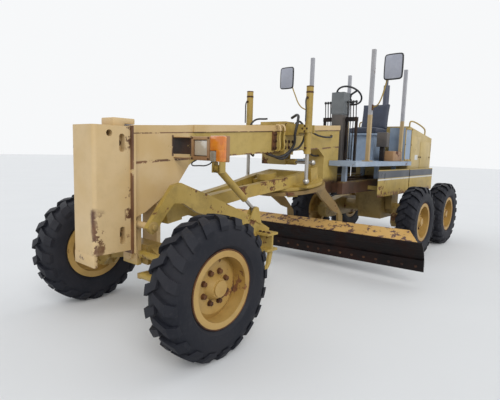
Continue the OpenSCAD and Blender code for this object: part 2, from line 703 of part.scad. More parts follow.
// Circle: toothed ring with the arms that carry the blade
arm_x = 400;
arm_t = 32;
pivot = [705, -930];
module blade_circle() color(rust) from_axle() on_circle() {
    difference() {
        translate([0, 0, -ring_half]) cylinder(h = 2 * ring_half, r = circle_d / 2);
        translate([0, 0, -ring_half - 1]) cylinder(h = 2 * ring_half + 2, r = circle_d / 2 - ring_w);
    }
    difference() {
        both_sides() plate_x([[20, -ring_half + 1], [250, -ring_half + 1], [330, -110], [600, -330], [800, -560],
            [800, -960], [pivot[0] - 50, -990], [pivot[0] - 35, -500], [500, -420], [200, -190]], arm_t, arm_x);
        bar_x(60 + 2 * pin_play, 2 * arm_x + 100, [0, pivot[0], pivot[1]]);
    }
}

// Blade section, in the circle's frame: foot of the cutting edge, top edge, and the arc between them
blade_foot = [482, -1063];
blade_lean = 17;
blade_up = [-sin(blade_lean), cos(blade_lean)];
blade_back = [cos(blade_lean), sin(blade_lean)];
blade_bow = 55;
blade_r = (blade_h * blade_h / 4 + blade_bow * blade_bow) / (2 * blade_bow);
blade_mid = blade_foot + blade_up * blade_h / 2 + blade_back * (blade_bow - blade_r);
blade_half = asin(blade_h / 2 / blade_r);
blade_edge = blade_foot + blade_up * blade_h;
blade_steps = 8;
blade_low = blade_half * 0.72;
edge_h = 150;
edge_t = 18;
// A corner of the mouldboard's face: its height up the chord, and how far back it lies
function face(i) = let (a = -blade_low + i * (blade_low + blade_half) / blade_steps)
    [blade_h / 2 + blade_r * sin(a), blade_bow - blade_r + blade_r * cos(a)];
edge_slope = (face(2)[1] - face(0)[1]) / (face(2)[0] - face(0)[0]);
rail_s = 40;
rail_up = [110, 320];
rail_back = 112;
// A point of the blade's section: up the chord from the foot, and back from it
function on_blade(up, back) = blade_foot + blade_up * up + blade_back * back;
slide_l = 2300;
// Sideways place of the blade on its slide as parked
blade_side = 28.8;
module on_slide() on_circle() translate([blade_side, 0, 0]) children();
module mouldboard() color(rust) from_axle() on_slide() {
    span = [blade_lean - blade_low, blade_lean + blade_half];
    plate_x(concat(arc(blade_mid, blade_r, span[0], span[1], blade_steps),
        arc(blade_mid, blade_r + blade_t, span[1], span[0], blade_steps)), blade_l);
    // Sloping cover behind the top edge, its ends cut back
    translate([0, blade_edge[0], blade_edge[1]]) rotate([15.5, 0, 0]) plate_z([[-blade_l / 2 + 40, 0],
        [blade_l / 2 - 40, 0], [blade_l / 2 - 210, cover_w], [-blade_l / 2 + 210, cover_w]], -12, 0);
    // Slide rails on the back
    for (up = rail_up) plate_x([for (p = [[-1, 50], [1, 50], [1, rail_back], [-1, rail_back]])
        on_blade(up + p[0] * rail_s / 2, p[1])], slide_l);
}

// Cutting edge, bolted to the mouldboard's foot
module cutting_edge() color(rust) from_axle() on_slide() {
    foot = on_blade(0, face(0)[1] - face(0)[0] * edge_slope);
    translate([0, foot[0], foot[1]]) rotate([blade_lean - atan(edge_slope), 0, 0])
        box([-blade_l / 2, -edge_t - seat_gap, 0], [blade_l / 2, -seat_gap, edge_h]);
}

// Carriage that tips the blade and lets it slide
carriage = [[30, 80], [385, 80], [385, 150], [250, 205], [120, 295], [62, 310], [10, 285], [0, 220], [5, 110]];
module blade_carriage() color(ochre) from_axle() on_circle() {
    bar_x(90, 2 * (arm_x - arm_t / 2 - side_gap), [0, pivot[0], pivot[1]]);
    bar_x(60, 2 * arm_x + 70, [0, pivot[0], pivot[1]]);
    for (side = [-1, 1]) difference() {
        plate_x([for (p = carriage) on_blade(p[0], p[1])], 70, side * (arm_x - 75));
        for (up = rail_up) plate_x([for (p = [[-1, 60], [1, 60], [1, rail_back + guide_gap], [-1, rail_back + guide_gap]])
            on_blade(up + p[0] * (rail_s / 2 + guide_gap), p[1])], blade_l);
    }
}

// Lift cylinders
module lift_barrel(side) color(ochre) from_axle() on_side(side) difference() {
    union() {
        translate([lift_x, lift_y, lift_foot]) cylinder(h = lift_top - lift_foot, d = lift_barrel_d);
        bar_y(trunnion_d, 2 * (fork_y + fork_t - 3), [lift_x, lift_y, trunnion_z]);
        translate([lift_x, lift_y, trunnion_z - 40]) cylinder(h = 80, d = lift_barrel_d + 14);
    }
    translate([lift_x, lift_y, lift_foot - 1]) cylinder(h = lift_top - lift_foot - 60, d = lift_rod_d + 2);
}
lift_eye_z = ball_z + lift_pin_y * sin(drawbar_tilt);
module lift_rod(side) color(steel) from_axle() on_side(side) {
    translate([lift_x, lift_y, lift_eye_z + 20]) cylinder(h = 1980 - lift_eye_z, d = lift_rod_d);
    translate([lift_x, lift_y, lift_eye_z]) sphere(d = lift_ball_d);
}

// Side-shift cylinder, from the frame to the left end of the drawbar
shift_from = [-430, 2330, 1450];
shift_to = [300, 2330, 1450];
shift_rod_d = 40;
shift_pin_d = 34;
module shift_barrel() color(ochre) from_axle() difference() {
    union() {
        along(shift_from, shift_to) cylinder(h = 480, d = 76);
        bar_y(84, 56, shift_from);
    }
    along(shift_from, shift_to) translate([0, 0, 40]) cylinder(h = 500, d = shift_rod_d + 2);
    bar_y(shift_pin_d + 2 * pin_play, 100, shift_from);
}
module shift_rod() color(steel) from_axle() {
    along(shift_from, shift_to) translate([0, 0, 264])
        cylinder(h = norm(shift_to - shift_from) - 264, d = shift_rod_d);
    translate(shift_to) sphere(d = lift_ball_d);
}

// Scarifier: two bent arms, a cross beam and its teeth
tooth_count = 9;
tooth_span = 900;
tool_y = 1270;
scarifier_eye = [1165, 960];
scarifier_pin_d = 22;
scarifier_drift = 11.5;
scarifier_long = norm(scarifier_eye - scarifier_hang);
module scarifier() color(ochre) from_axle() {
    difference() {
        both_sides() plate_x([[scarifier_pin[0] - 60, scarifier_pin[1]], [-90, 1080], [60, 1270], [150, 1290],
            [520, 1150], [1100, 905], [tool_y + 140, 740], [tool_y + 140, 640], [tool_y - 60, 640], [1000, 800],
            [330, 1020], [180, 1110], [80, 1120], [0, 1040], [scarifier_pin[0] + 60, scarifier_pin[1]],
            [scarifier_pin[0], scarifier_pin[1] - 60]], scarifier_t, scarifier_x);
        bar_x(40 + 2 * pin_play, 2 * scarifier_x + 100, [0, scarifier_pin[0], scarifier_pin[1]]);
    }
    for (z = [530, 700]) box([-510, tool_y - 90, z], [510, tool_y + 90, z + 24]);
    box([-510, tool_y - 12, 553], [510, tool_y + 12, 701]);
    for (i = [0:tooth_count - 1]) {
        x = -tooth_span / 2 + i * tooth_span / (tooth_count - 1);
        plate_x([[tool_y + 10, 725], [tool_y + 70, 725], [tool_y + 70, 500], [tool_y + 40, 380], [tool_y - 40, 285],
            [tool_y - 75, 280], [tool_y - 10, 380], [tool_y + 10, 480]], 28, x);
    }
    // Ears and pin of the cylinder
    for (side = [-1, 1])
        plate_x([[1060, 880], [1260, 800], [1200, 985], [1165, 1000], [1130, 985]], 14, scarifier_x + side * (scarifier_t / 2 + 6));
    bar_x(scarifier_pin_d, 74, [scarifier_x, scarifier_eye[0], scarifier_eye[1]]);
}
module scarifier_barrel() color(ochre) from_axle() difference() {
    union() {
        along_scarifier() translate([0, 0, 20]) cylinder(h = 480, d = 70);
        bar_x(76, 50, [scarifier_x, scarifier_hang[0], scarifier_hang[1]]);
    }
    along_scarifier() translate([0, 0, 60]) cylinder(h = 500, d = 38);
    bar_x(hang_pin_d + 2 * pin_play, 100, [scarifier_x, scarifier_hang[0], scarifier_hang[1]]);
}
module scarifier_rod() color(steel) from_axle() difference() {
    union() {
        along_scarifier() translate([0, 0, 110]) cylinder(h = scarifier_long - 140, d = 36);
        bar_x(76, 32, [scarifier_x, scarifier_eye[0], scarifier_eye[1]]);
    }
    bar_x(scarifier_pin_d + 2 * scarifier_drift, 100, [scarifier_x, scarifier_eye[0], scarifier_eye[1]]);
}
module along_scarifier()
    along([scarifier_x, scarifier_hang[0], scarifier_hang[1]], [scarifier_x, scarifier_eye[0], scarifier_eye[1]])
        children();

// Tandem case that rocks on the rear axle
module tandem(side) color(ochre) from_axle() on_side(side) {
    half = tandem_pitch / 2;
    difference() {
        translate([0, wheelbase, tyre_r]) plate_x([[-half - 120, -60], [-half - 120, 60], [-half - 50, 125],
            [-200, pivot_z + 150 - tyre_r], [200, pivot_z + 150 - tyre_r], [half + 50, 125],
            [half + 120, 60], [half + 120, -60], [half + 50, -125], [-half - 50, -125]],
            case_x1 - case_x0, (case_x0 + case_x1) / 2);
        bar_x(150 + 2 * pin_play, 2 * (case_x1 - 15), [0, wheelbase, pivot_z]);
    }
    boss_out = rear_track / 2 - hub_back - side_gap;
    stub_out = rear_track / 2 + stub_end;
    for (y = [wheelbase - half, wheelbase + half]) {
        bar_x(110, boss_out - case_x1 + 10, [(boss_out + case_x1 - 10) / 2, y, tyre_r]);
        bar_x(stub_d, stub_out - case_x1, [(stub_out + case_x1) / 2, y, tyre_r]);
    }
}

// Wheels, with their outer side towards +X before they are placed
module wheel_at(side, x, y) from_axle() on_side(side) translate([x, y, tyre_r]) rotate([0, 90, 0]) children();

bead = rim_w / 2 - 12;
seat_r = rim_r - 46;
module tyre(side, x, y) color(dark) wheel_at(side, x, y) rotate_extrude($fn = 96)
    polygon([[seat_r + seat_gap, -bead + seat_gap], [rim_r, -bead + seat_gap], [rim_r + 40, -tyre_w / 2 + 8],
        [rim_r + 110, -tyre_w / 2], [tyre_r - 60, -tyre_w / 2 + 8], [tyre_r - 12, -tyre_w / 2 + 30],
        [tyre_r, -tyre_w / 2 + 60], [tyre_r, tyre_w / 2 - 60], [tyre_r - 12, tyre_w / 2 - 30],
        [tyre_r - 60, tyre_w / 2 - 8], [rim_r + 110, tyre_w / 2], [rim_r + 40, tyre_w / 2 - 8],
        [rim_r, bead - seat_gap], [seat_r + seat_gap, bead - seat_gap]]);

stub_d = 56;
hub_r = 62;
disc_z = 22;
module rim(side, x, y) color(ochre) wheel_at(side, x, y) {
    rotate_extrude($fn = 72) polygon([[stub_d / 2 + pin_play, -hub_back], [hub_r, -hub_back],
        [hub_r + 16, disc_z - disc_t], [seat_r - 60, disc_z - disc_t], [seat_r - 11, disc_z - 40],
        [seat_r - 11, -bead - 12], [rim_r, -bead - 12], [rim_r, -bead], [seat_r, -bead], [seat_r, bead],
        [rim_r, bead], [rim_r, bead + 12], [seat_r - 11, bead + 12], [seat_r - 11, disc_z - 20],
        [seat_r - 50, disc_z], [hub_r + 40, disc_z], [hub_r + 10, disc_z + 60],
        [stub_d / 2 + pin_play, disc_z + 60]]);
    translate([0, 0, disc_z + 40]) cylinder(h = 34, r = hub_r);
    for (i = [0:stud_count - 1]) rotate([0, 0, (i + 0.5) * 360 / stud_count])
        translate([125, 0, disc_z - 1]) cylinder(h = 26, d = 26, $fn = 6);
}

front_wheel_x = front_track / 2;
rear_wheel_x = rear_track / 2;
mid_y = wheelbase - tandem_pitch / 2;
last_y = wheelbase + tandem_pitch / 2;

main_frame();
front_weight();
lift_yoke();
deck();
lower_panels();
console();
steering_wheel();
control_levers();
deck_boxes();
seat();
canopy_posts();
hood();
engine_block();
grille();
exhaust_stack();
front_lamps();
mirrors();
rear_axle();
front_axle();
lean_yoke(1);  // lean_yoke_left
lean_yoke(-1);  // lean_yoke_right
knuckle(1);  // knuckle_left
knuckle(-1);  // knuckle_right
lean_bar();
tie_link();
tie_rod();
steer_barrel();
steer_rod();
lean_barrel();
lean_rod();
ball_shell();
drawbar();
blade_circle();
blade_carriage();
mouldboard();
cutting_edge();
lift_barrel(1);  // lift_barrel_left
lift_barrel(-1);  // lift_barrel_right
lift_rod(1);  // lift_rod_left
lift_rod(-1);  // lift_rod_right
shift_barrel();
shift_rod();
scarifier();
scarifier_barrel();
scarifier_rod();
tandem(1);  // tandem_left
tandem(-1);  // tandem_right
tyre(1, front_wheel_x, 0);  // tyre_front_left
tyre(-1, front_wheel_x, 0);  // tyre_front_right
tyre(1, rear_wheel_x, mid_y);  // tyre_mid_left
tyre(-1, rear_wheel_x, mid_y);  // tyre_mid_right
tyre(1, rear_wheel_x, last_y);  // tyre_rear_left
tyre(-1, rear_wheel_x, last_y);  // tyre_rear_right
rim(1, front_wheel_x, 0);  // rim_front_left
rim(-1, front_wheel_x, 0);  // rim_front_right
rim(1, rear_wheel_x, mid_y);  // rim_mid_left
rim(-1, rear_wheel_x, mid_y);  // rim_mid_right
rim(1, rear_wheel_x, last_y);  // rim_rear_left
rim(-1, rear_wheel_x, last_y);  // rim_rear_right
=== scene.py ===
"""Looks of a motor grader with an open operator station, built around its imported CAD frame.

The CAD frame gives every structural piece. This script dresses it in weathered paint, rust, rubber and
steel, and adds tyres with chevron lugs, bolts, lamp glasses, a padded seat and trim.
"""

import json
import logging
import math
from collections.abc import Callable
from dataclasses import dataclass, field
from enum import Enum

import bmesh
import bpy
from mathutils import Matrix, Vector

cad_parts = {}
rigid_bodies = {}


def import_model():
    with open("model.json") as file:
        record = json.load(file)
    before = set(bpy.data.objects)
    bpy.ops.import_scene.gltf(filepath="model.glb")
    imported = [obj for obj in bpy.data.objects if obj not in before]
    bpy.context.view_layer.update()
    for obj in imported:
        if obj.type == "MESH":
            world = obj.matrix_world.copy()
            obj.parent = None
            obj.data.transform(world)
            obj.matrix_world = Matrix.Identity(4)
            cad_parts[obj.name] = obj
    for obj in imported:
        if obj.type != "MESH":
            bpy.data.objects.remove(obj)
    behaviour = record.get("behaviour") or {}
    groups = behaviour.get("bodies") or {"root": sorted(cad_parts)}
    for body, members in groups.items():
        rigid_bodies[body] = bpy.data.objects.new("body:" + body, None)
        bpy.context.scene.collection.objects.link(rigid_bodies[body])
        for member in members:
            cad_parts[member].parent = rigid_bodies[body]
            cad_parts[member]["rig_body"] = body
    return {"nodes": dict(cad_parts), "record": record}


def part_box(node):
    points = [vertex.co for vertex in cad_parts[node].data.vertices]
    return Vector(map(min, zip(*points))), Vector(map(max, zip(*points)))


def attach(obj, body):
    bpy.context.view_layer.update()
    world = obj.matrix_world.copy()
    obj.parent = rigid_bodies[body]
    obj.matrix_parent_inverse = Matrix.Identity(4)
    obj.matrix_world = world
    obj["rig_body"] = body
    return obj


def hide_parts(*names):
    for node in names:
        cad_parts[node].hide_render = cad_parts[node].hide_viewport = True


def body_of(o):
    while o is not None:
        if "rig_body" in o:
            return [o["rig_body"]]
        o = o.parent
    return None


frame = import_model()

LOG = logging.getLogger("grader")
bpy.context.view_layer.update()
Colour = tuple[float, float, float]
Point = tuple[float, float, float]
Span = tuple[float, float]

# The front axle's y in the frame's axes. Places below are measured back from it
AXLE_Y = -3.0325


class Side(Enum):
    """Sides of the machine, with the sign of x on that side."""

    LEFT = 1
    RIGHT = -1

    @property
    def label(self) -> str:
        """The side's name as piece names have it."""
        return self.name.lower()

    def span(self, distances: Span) -> Span:
        """Gives two distances from the centre plane as x limits on this side, the lower first."""
        low, high = sorted(self.value * distance for distance in distances)
        return low, high


class Wear(Enum):
    """How far paint has gone: the share of rust and the strength of its streaks."""

    SOUND = (0.30, 0.15)
    WORN = (0.42, 0.40)
    RUSTY = (0.52, 0.70)
    ROTTEN = (0.62, 0.90)


def at(x: float, y: float, z: float) -> Point:
    """Gives a point of the frame's axes from one measured back from the front axle.

    Args:
        x: metres to the machine's left.
        y: metres behind the front axle.
        z: metres above the floor.

    Returns:
        The point in the frame's axes.
    """
    return (x, y + AXLE_Y, z)


class Weave:
    """A material's node tree with short calls for the nodes that the finishes share."""

    def __init__(self, name: str, onto: bpy.types.Material | None = None) -> None:
        """Starts an empty material, or takes up one that a finish has made.

        Args:
            name: the material's name.
            onto: a finished material to add nodes to.
        """
        if onto is not None:
            onto.name = name
            self.material, self.tree = onto, onto.node_tree
            kinds = {node.type: node for node in self.tree.nodes}
            self.shader = kinds["BSDF_PRINCIPLED"]
            self.place = kinds["TEX_COORD"].outputs["Object"]
            return
        self.material = bpy.data.materials.new(name)
        self.material.use_nodes = True
        self.tree = self.material.node_tree
        self.tree.nodes.clear()
        output = self.tree.nodes.new("ShaderNodeOutputMaterial")
        self.shader = self.tree.nodes.new("ShaderNodeBsdfPrincipled")
        self.tree.links.new(self.shader.outputs[0], output.inputs[0])
        self.place = self.tree.nodes.new("ShaderNodeTexCoord").outputs["Object"]

    def link(self, source: bpy.types.NodeSocket, target: bpy.types.NodeSocket) -> None:
        """Joins two sockets."""
        self.tree.links.new(source, target)

    def mapped(self, scale: Point) -> bpy.types.NodeSocket:
        """Gives object coordinates, scaled.

        Args:
            scale: factor along each axis.

        Returns:
            The vector socket.
        """
        node = self.tree.nodes.new("ShaderNodeMapping")
        node.inputs["Scale"].default_value = scale
        self.link(self.place, node.inputs[0])
        return node.outputs[0]

    def noise(self, scale: float, detail: float = 5.0, rough: float = 0.6,
              vector: bpy.types.NodeSocket | None = None) -> bpy.types.NodeSocket:
        """Adds a noise texture.

        Args:
            scale: its scale.
            detail: its octaves.
            rough: roughness of the octaves.
            vector: coordinates, or the object's own.

        Returns:
            The factor socket.
        """
        node = self.tree.nodes.new("ShaderNodeTexNoise")
        node.inputs["Scale"].default_value = scale
        node.inputs["Detail"].default_value = detail
        node.inputs["Roughness"].default_value = rough
        self.link(vector if vector is not None else self.place, node.inputs["Vector"])
        return node.outputs["Fac"]

    def ramp(self, source: bpy.types.NodeSocket, low: float, high: float,
             first: float = 0.0, last: float = 1.0) -> bpy.types.NodeSocket:
        """Maps a range of a factor to another, clamped and smooth.

        Args:
            source: the factor.
            low: where the ramp starts.
            high: where it ends.
            first: value at the start.
            last: value at the end.

        Returns:
            The mapped factor.
        """
        node = self.tree.nodes.new("ShaderNodeMapRange")
        node.interpolation_type = "SMOOTHSTEP"
        for socket, value in zip(node.inputs[1:5], (low, high, first, last)):
            socket.default_value = value
        self.link(source, node.inputs[0])
        return node.outputs[0]

    def math(self, operation: str, first: bpy.types.NodeSocket | float,
             second: bpy.types.NodeSocket | float = 0.0) -> bpy.types.NodeSocket:
        """Adds a math node.

        Args:
            operation: its operation.
            first: a socket or a number.
            second: a socket or a number.

        Returns:
            The result socket.
        """
        node = self.tree.nodes.new("ShaderNodeMath")
        node.operation = operation
        for socket, value in zip(node.inputs, (first, second)):
            if isinstance(value, (int, float)):
                socket.default_value = value
            else:
                self.link(value, socket)
        return node.outputs[0]

    def split(self) -> bpy.types.NodeOutputs:
        """Gives the object coordinates as separate x, y and z sockets."""
        node = self.tree.nodes.new("ShaderNodeSeparateXYZ")
        self.link(self.place, node.inputs[0])
        return node.outputs

    def mix(self, factor: bpy.types.NodeSocket, first: bpy.types.NodeSocket | Colour,
            second: bpy.types.NodeSocket | Colour) -> bpy.types.NodeSocket:
        """Mixes two colours.

        Args:
            factor: share of the second.
            first: a socket or a colour.
            second: a socket or a colour.

        Returns:
            The mixed colour.
        """
        node = self.tree.nodes.new("ShaderNodeMix")
        node.data_type = "RGBA"
        self.link(factor, node.inputs[0])
        for socket, value in zip((node.inputs[6], node.inputs[7]), (first, second)):
            if isinstance(value, tuple):
                socket.default_value = (*value, 1.0)
            else:
                self.link(value, socket)
        return node.outputs[2]

    def bump(self, height: bpy.types.NodeSocket, strength: float, distance: float) -> None:
        """Feeds the shader's normal from a height.

        Args:
            height: the height factor.
            strength: strength of the bump.
            distance: its depth in metres.
        """
        node = self.tree.nodes.new("ShaderNodeBump")
        node.inputs["Strength"].default_value = strength
        node.inputs["Distance"].default_value = distance
        self.link(height, node.inputs["Height"])
        self.link(node.outputs[0], self.shader.inputs["Normal"])


@dataclass(frozen=True)
class PaintFinish:
    """Sprayed paint over steel that has faded, chipped and rusted."""

    name: str
    colour: Colour
    faded: Colour
    wear: Wear = Wear.WORN
    rust_dark: Colour = (0.050, 0.022, 0.012)
    rust_light: Colour = (0.190, 0.075, 0.026)
    grime: float = 0.35
    roughness: float = 0.48

    def build(self) -> bpy.types.Material:
        """Makes the material.

        Returns:
            The material.
        """
        kit = Weave(self.name)
        share, streak = self.wear.value
        fade = kit.ramp(kit.noise(1.7, 4.0, 0.55), 0.36, 0.66)
        paint = kit.mix(fade, self.colour, self.faded)
        dust = kit.ramp(kit.noise(7.0, 6.0, 0.7), 0.42, 0.78, 0.0, self.grime)
        paint = kit.mix(dust, paint, tuple(0.42 * c for c in self.colour))
        spots = kit.noise(5.2, 9.0, 0.66)
        large = kit.noise(1.25, 3.0, 0.5)
        patch = kit.math("ADD", spots, kit.ramp(large, 0.45, 0.75, 0.0, 0.16))
        edge = 0.80 - 0.26 * share
        mask = kit.ramp(patch, edge, edge + 0.035)
        runs = kit.noise(1.0, 6.0, 0.7, kit.mapped((16.0, 16.0, 1.1)))
        run_edge = 0.74 - 0.10 * streak
        drip = kit.ramp(runs, run_edge, run_edge + 0.10, 0.0, 0.75 * streak)
        rust_tone = kit.ramp(kit.noise(21.0, 5.0, 0.7), 0.35, 0.65)
        rust = kit.mix(rust_tone, self.rust_dark, self.rust_light)
        stained = kit.mix(drip, paint, self.rust_light)
        kit.link(kit.mix(mask, stained, rust), kit.shader.inputs["Base Color"])
        rough = kit.ramp(mask, 0.0, 1.0, self.roughness, 0.86)
        kit.link(rough, kit.shader.inputs["Roughness"])
        kit.bump(kit.math("SUBTRACT", kit.noise(60.0, 3.0, 0.6), kit.math("MULTIPLY", mask, 1.6)), 0.35, 0.0015)
        return kit.material


@dataclass(frozen=True)
class Layer:
    """Another paint or stain over a part of a piece, within limits along the machine's axes.

    x, y and z are limits in metres, y from the front axle. rise lets the z limits climb by that much per
    metre back. edge is the softness of the border and ragged how far noise moves it. hold is the share
    that still holds, and up the least upward part of a face's normal.
    """

    colour: Colour
    faded: Colour
    x: Span | None = None
    y: Span | None = None
    z: Span | None = None
    rise: float = 0.0
    edge: float = 0.006
    ragged: float = 0.0
    hold: float = 1.0
    up: float | None = None


@dataclass(frozen=True)
class LayeredFinish:
    """A finish with further paints, stripes or stains over parts of it."""

    name: str
    base: "PaintFinish | RustFinish"
    layers: tuple[Layer, ...]

    def mask(self, kit: Weave, layer: Layer) -> bpy.types.NodeSocket:
        """Builds the mask of one layer.

        Args:
            kit: the material's nodes.
            layer: the layer.

        Returns:
            The mask, 1 where the layer covers.
        """
        axes = kit.split()
        back = kit.math("SUBTRACT", axes[1], AXLE_Y)
        height = kit.math("SUBTRACT", axes[2], kit.math("MULTIPLY", back, layer.rise))
        wander = kit.math("MULTIPLY", kit.math("SUBTRACT", kit.noise(3.6, 7.0, 0.66), 0.5), 2.0 * layer.ragged)
        worn = 0.42 * (1 - layer.hold)
        found = kit.ramp(kit.noise(9.0, 8.0, 0.68), 0.70 - worn, 0.74 - worn, 1.0, 0.0)
        shift = AXLE_Y if layer.y else 0.0
        for place, limits, moved in ((axes[0], layer.x, 0.0), (axes[1], layer.y, shift), (height, layer.z, 0.0)):
            if limits is None:
                continue
            place = kit.math("ADD", place, wander)
            low, high = limits[0] + moved, limits[1] + moved
            inside = kit.math("MULTIPLY", kit.ramp(place, low - layer.edge, low + layer.edge),
                              kit.ramp(place, high - layer.edge, high + layer.edge, 1.0, 0.0))
            found = kit.math("MULTIPLY", found, inside)
        if layer.up is not None:
            normal = kit.tree.nodes.new("ShaderNodeSeparateXYZ")
            kit.link(kit.place.node.outputs["Normal"], normal.inputs[0])
            found = kit.math("MULTIPLY", found, kit.math("GREATER_THAN", normal.outputs[2], layer.up))
        return found

    def build(self) -> bpy.types.Material:
        """Makes the material.

        Returns:
            The material.
        """
        kit = Weave(self.name, self.base.build())
        colour = kit.shader.inputs["Base Color"].links[0].from_socket
        for layer in self.layers:
            tone = kit.mix(kit.ramp(kit.noise(2.3, 5.0, 0.6), 0.38, 0.66), layer.colour, layer.faded)
            colour = kit.mix(self.mask(kit, layer), colour, tone)
        kit.link(colour, kit.shader.inputs["Base Color"])
        return kit.material


@dataclass(frozen=True)
class RustFinish:
    """Bare steel that has rusted over, with scratches and leftovers of paint. Its near-black defaults also hold painted
    shade.
    """

    name: str
    # Only the blade's finishes keep these near-black defaults: dark rust with painted shade of the blade's shaded front
    # face in it
    dark: Colour = (0.004, 0.0022, 0.0025)
    warm: Colour = (0.020, 0.008, 0.006)
    paint: Colour = (0.36, 0.22, 0.06)
    paint_share: float = 0.0
    roughness: float = 0.62

    def build(self) -> bpy.types.Material:
        """Makes the material.

        Returns:
            The material.
        """
        kit = Weave(self.name)
        tone = kit.ramp(kit.noise(3.4, 8.0, 0.68), 0.38, 0.66)
        rust = kit.mix(tone, self.dark, self.warm)
        scratch = kit.ramp(kit.noise(1.0, 5.0, 0.6, kit.mapped((1.2, 24.0, 24.0))), 0.58, 0.75, 0.0, 0.35)
        rust = kit.mix(scratch, rust, tuple(2.2 * c for c in self.warm))
        edge = 0.78 - 0.34 * self.paint_share
        left = kit.ramp(kit.noise(4.6, 9.0, 0.64), edge, edge + 0.03)
        kit.link(kit.mix(left, rust, self.paint), kit.shader.inputs["Base Color"])
        kit.link(kit.ramp(tone, 0.0, 1.0, self.roughness - 0.14, self.roughness + 0.2), kit.shader.inputs["Roughness"])
        kit.shader.inputs["Metallic"].default_value = 0.10
        kit.shader.inputs["Specular IOR Level"].default_value = 0.22
        kit.bump(kit.noise(38.0, 7.0, 0.7), 0.45, 0.0018)
        return kit.material


@dataclass(frozen=True)
class RubberFinish:
    """Tyre rubber: nearly black, greyed by clouds and specks of dust."""

    name: str
    colour: Colour = (0.006, 0.007, 0.012)
    dust: Colour = (0.034, 0.032, 0.036)

    def build(self) -> bpy.types.Material:
        """Makes the material.

        Returns:
            The material.
        """
        kit = Weave(self.name)
        cloud = kit.ramp(kit.noise(2.6, 7.0, 0.66), 0.38, 0.74, 0.0, 0.55)
        fine = kit.ramp(kit.noise(34.0, 5.0, 0.7), 0.48, 0.80, 0.0, 0.35)
        grey = kit.mix(cloud, self.colour, self.dust)
        kit.link(kit.mix(fine, grey, self.dust), kit.shader.inputs["Base Color"])
        kit.link(kit.ramp(cloud, 0.0, 0.6, 0.62, 0.90), kit.shader.inputs["Roughness"])
        kit.shader.inputs["Specular IOR Level"].default_value = 0.28
        kit.bump(kit.noise(90.0, 4.0, 0.6), 0.22, 0.0010)
        return kit.material


@dataclass(frozen=True)
class SteelFinish:
    """Ground or plated steel with oil and a little rust bloom."""

    name: str
    colour: Colour = (0.42, 0.40, 0.37)
    bloom: Colour = (0.12, 0.060, 0.030)
    bloom_share: float = 0.35
    roughness: float = 0.28

    def build(self) -> bpy.types.Material:
        """Makes the material.

        Returns:
            The material.
        """
        kit = Weave(self.name)
        edge = 0.82 - 0.30 * self.bloom_share
        mask = kit.ramp(kit.noise(6.0, 8.0, 0.65), edge, edge + 0.10)
        kit.link(kit.mix(mask, self.colour, self.bloom), kit.shader.inputs["Base Color"])
        kit.link(kit.ramp(mask, 0.0, 1.0, self.roughness, 0.8), kit.shader.inputs["Roughness"])
        kit.shader.inputs["Metallic"].default_value = 0.85
        kit.bump(kit.noise(120.0, 2.0, 0.5), 0.12, 0.0006)
        return kit.material


@dataclass(frozen=True)
class PlasticFinish:
    """Moulded plastic or vinyl with a fine grain."""

    name: str
    colour: Colour
    worn: Colour
    grain: float = 160.0
    roughness: float = 0.5

    def build(self) -> bpy.types.Material:
        """Makes the material.

        Returns:
            The material.
        """
        kit = Weave(self.name)
        cloud = kit.ramp(kit.noise(8.0, 5.0, 0.6), 0.4, 0.72, 0.0, 0.7)
        kit.link(kit.mix(cloud, self.colour, self.worn), kit.shader.inputs["Base Color"])
        kit.link(kit.ramp(cloud, 0.0, 0.7, self.roughness, self.roughness + 0.2), kit.shader.inputs["Roughness"])
        kit.bump(kit.noise(self.grain, 3.0, 0.6), 0.25, 0.0006)
        return kit.material


@dataclass(frozen=True)
class LensFinish:
    """Ribbed lamp glass or plastic lens over a reflector."""

    name: str
    colour: Colour
    # Colour of the painted highlights on the glass
    glint: Colour
    share: float = 0.4
    ribs: float = 260.0

    def build(self) -> bpy.types.Material:
        """Makes the material.

        Returns:
            The material.
        """
        kit = Weave(self.name)
        wave = kit.tree.nodes.new("ShaderNodeTexWave")
        wave.inputs["Scale"].default_value = self.ribs / 6.0
        wave.inputs["Distortion"].default_value = 0.4
        kit.link(kit.place, wave.inputs["Vector"])
        # Painted shade in stripes along the ribs and painted highlights in patches, both in the colour
        shade = kit.ramp(wave.outputs["Fac"], 0.0, 1.0, 0.0, 0.35)
        glints = kit.ramp(kit.noise(11.0, 3.0, 0.5), 0.46, 0.60, 0.0, self.share)
        base = kit.mix(shade, self.colour, tuple(0.62 * c for c in self.colour))
        kit.link(kit.mix(glints, base, self.glint), kit.shader.inputs["Base Color"])
        kit.shader.inputs["Roughness"].default_value = 0.12
        kit.shader.inputs["Coat Weight"].default_value = 0.8
        kit.shader.inputs["Coat Roughness"].default_value = 0.05
        kit.bump(wave.outputs["Fac"], 0.3, 0.0010)
        return kit.material


OCHRE = (0.390, 0.270, 0.062)
OCHRE_FADED = (0.440, 0.315, 0.095)
CREAM = (0.530, 0.365, 0.165)
CREAM_FADED = (0.570, 0.415, 0.220)
SLATE = (0.235, 0.300, 0.390)
BROWN = (0.085, 0.036, 0.018)
BROWN_LIGHT = (0.190, 0.085, 0.034)
DARK_OIL = (0.030, 0.015, 0.007)

# How far the beam's top and its paint lines climb for each metre back
BEAM_RISE = 0.062

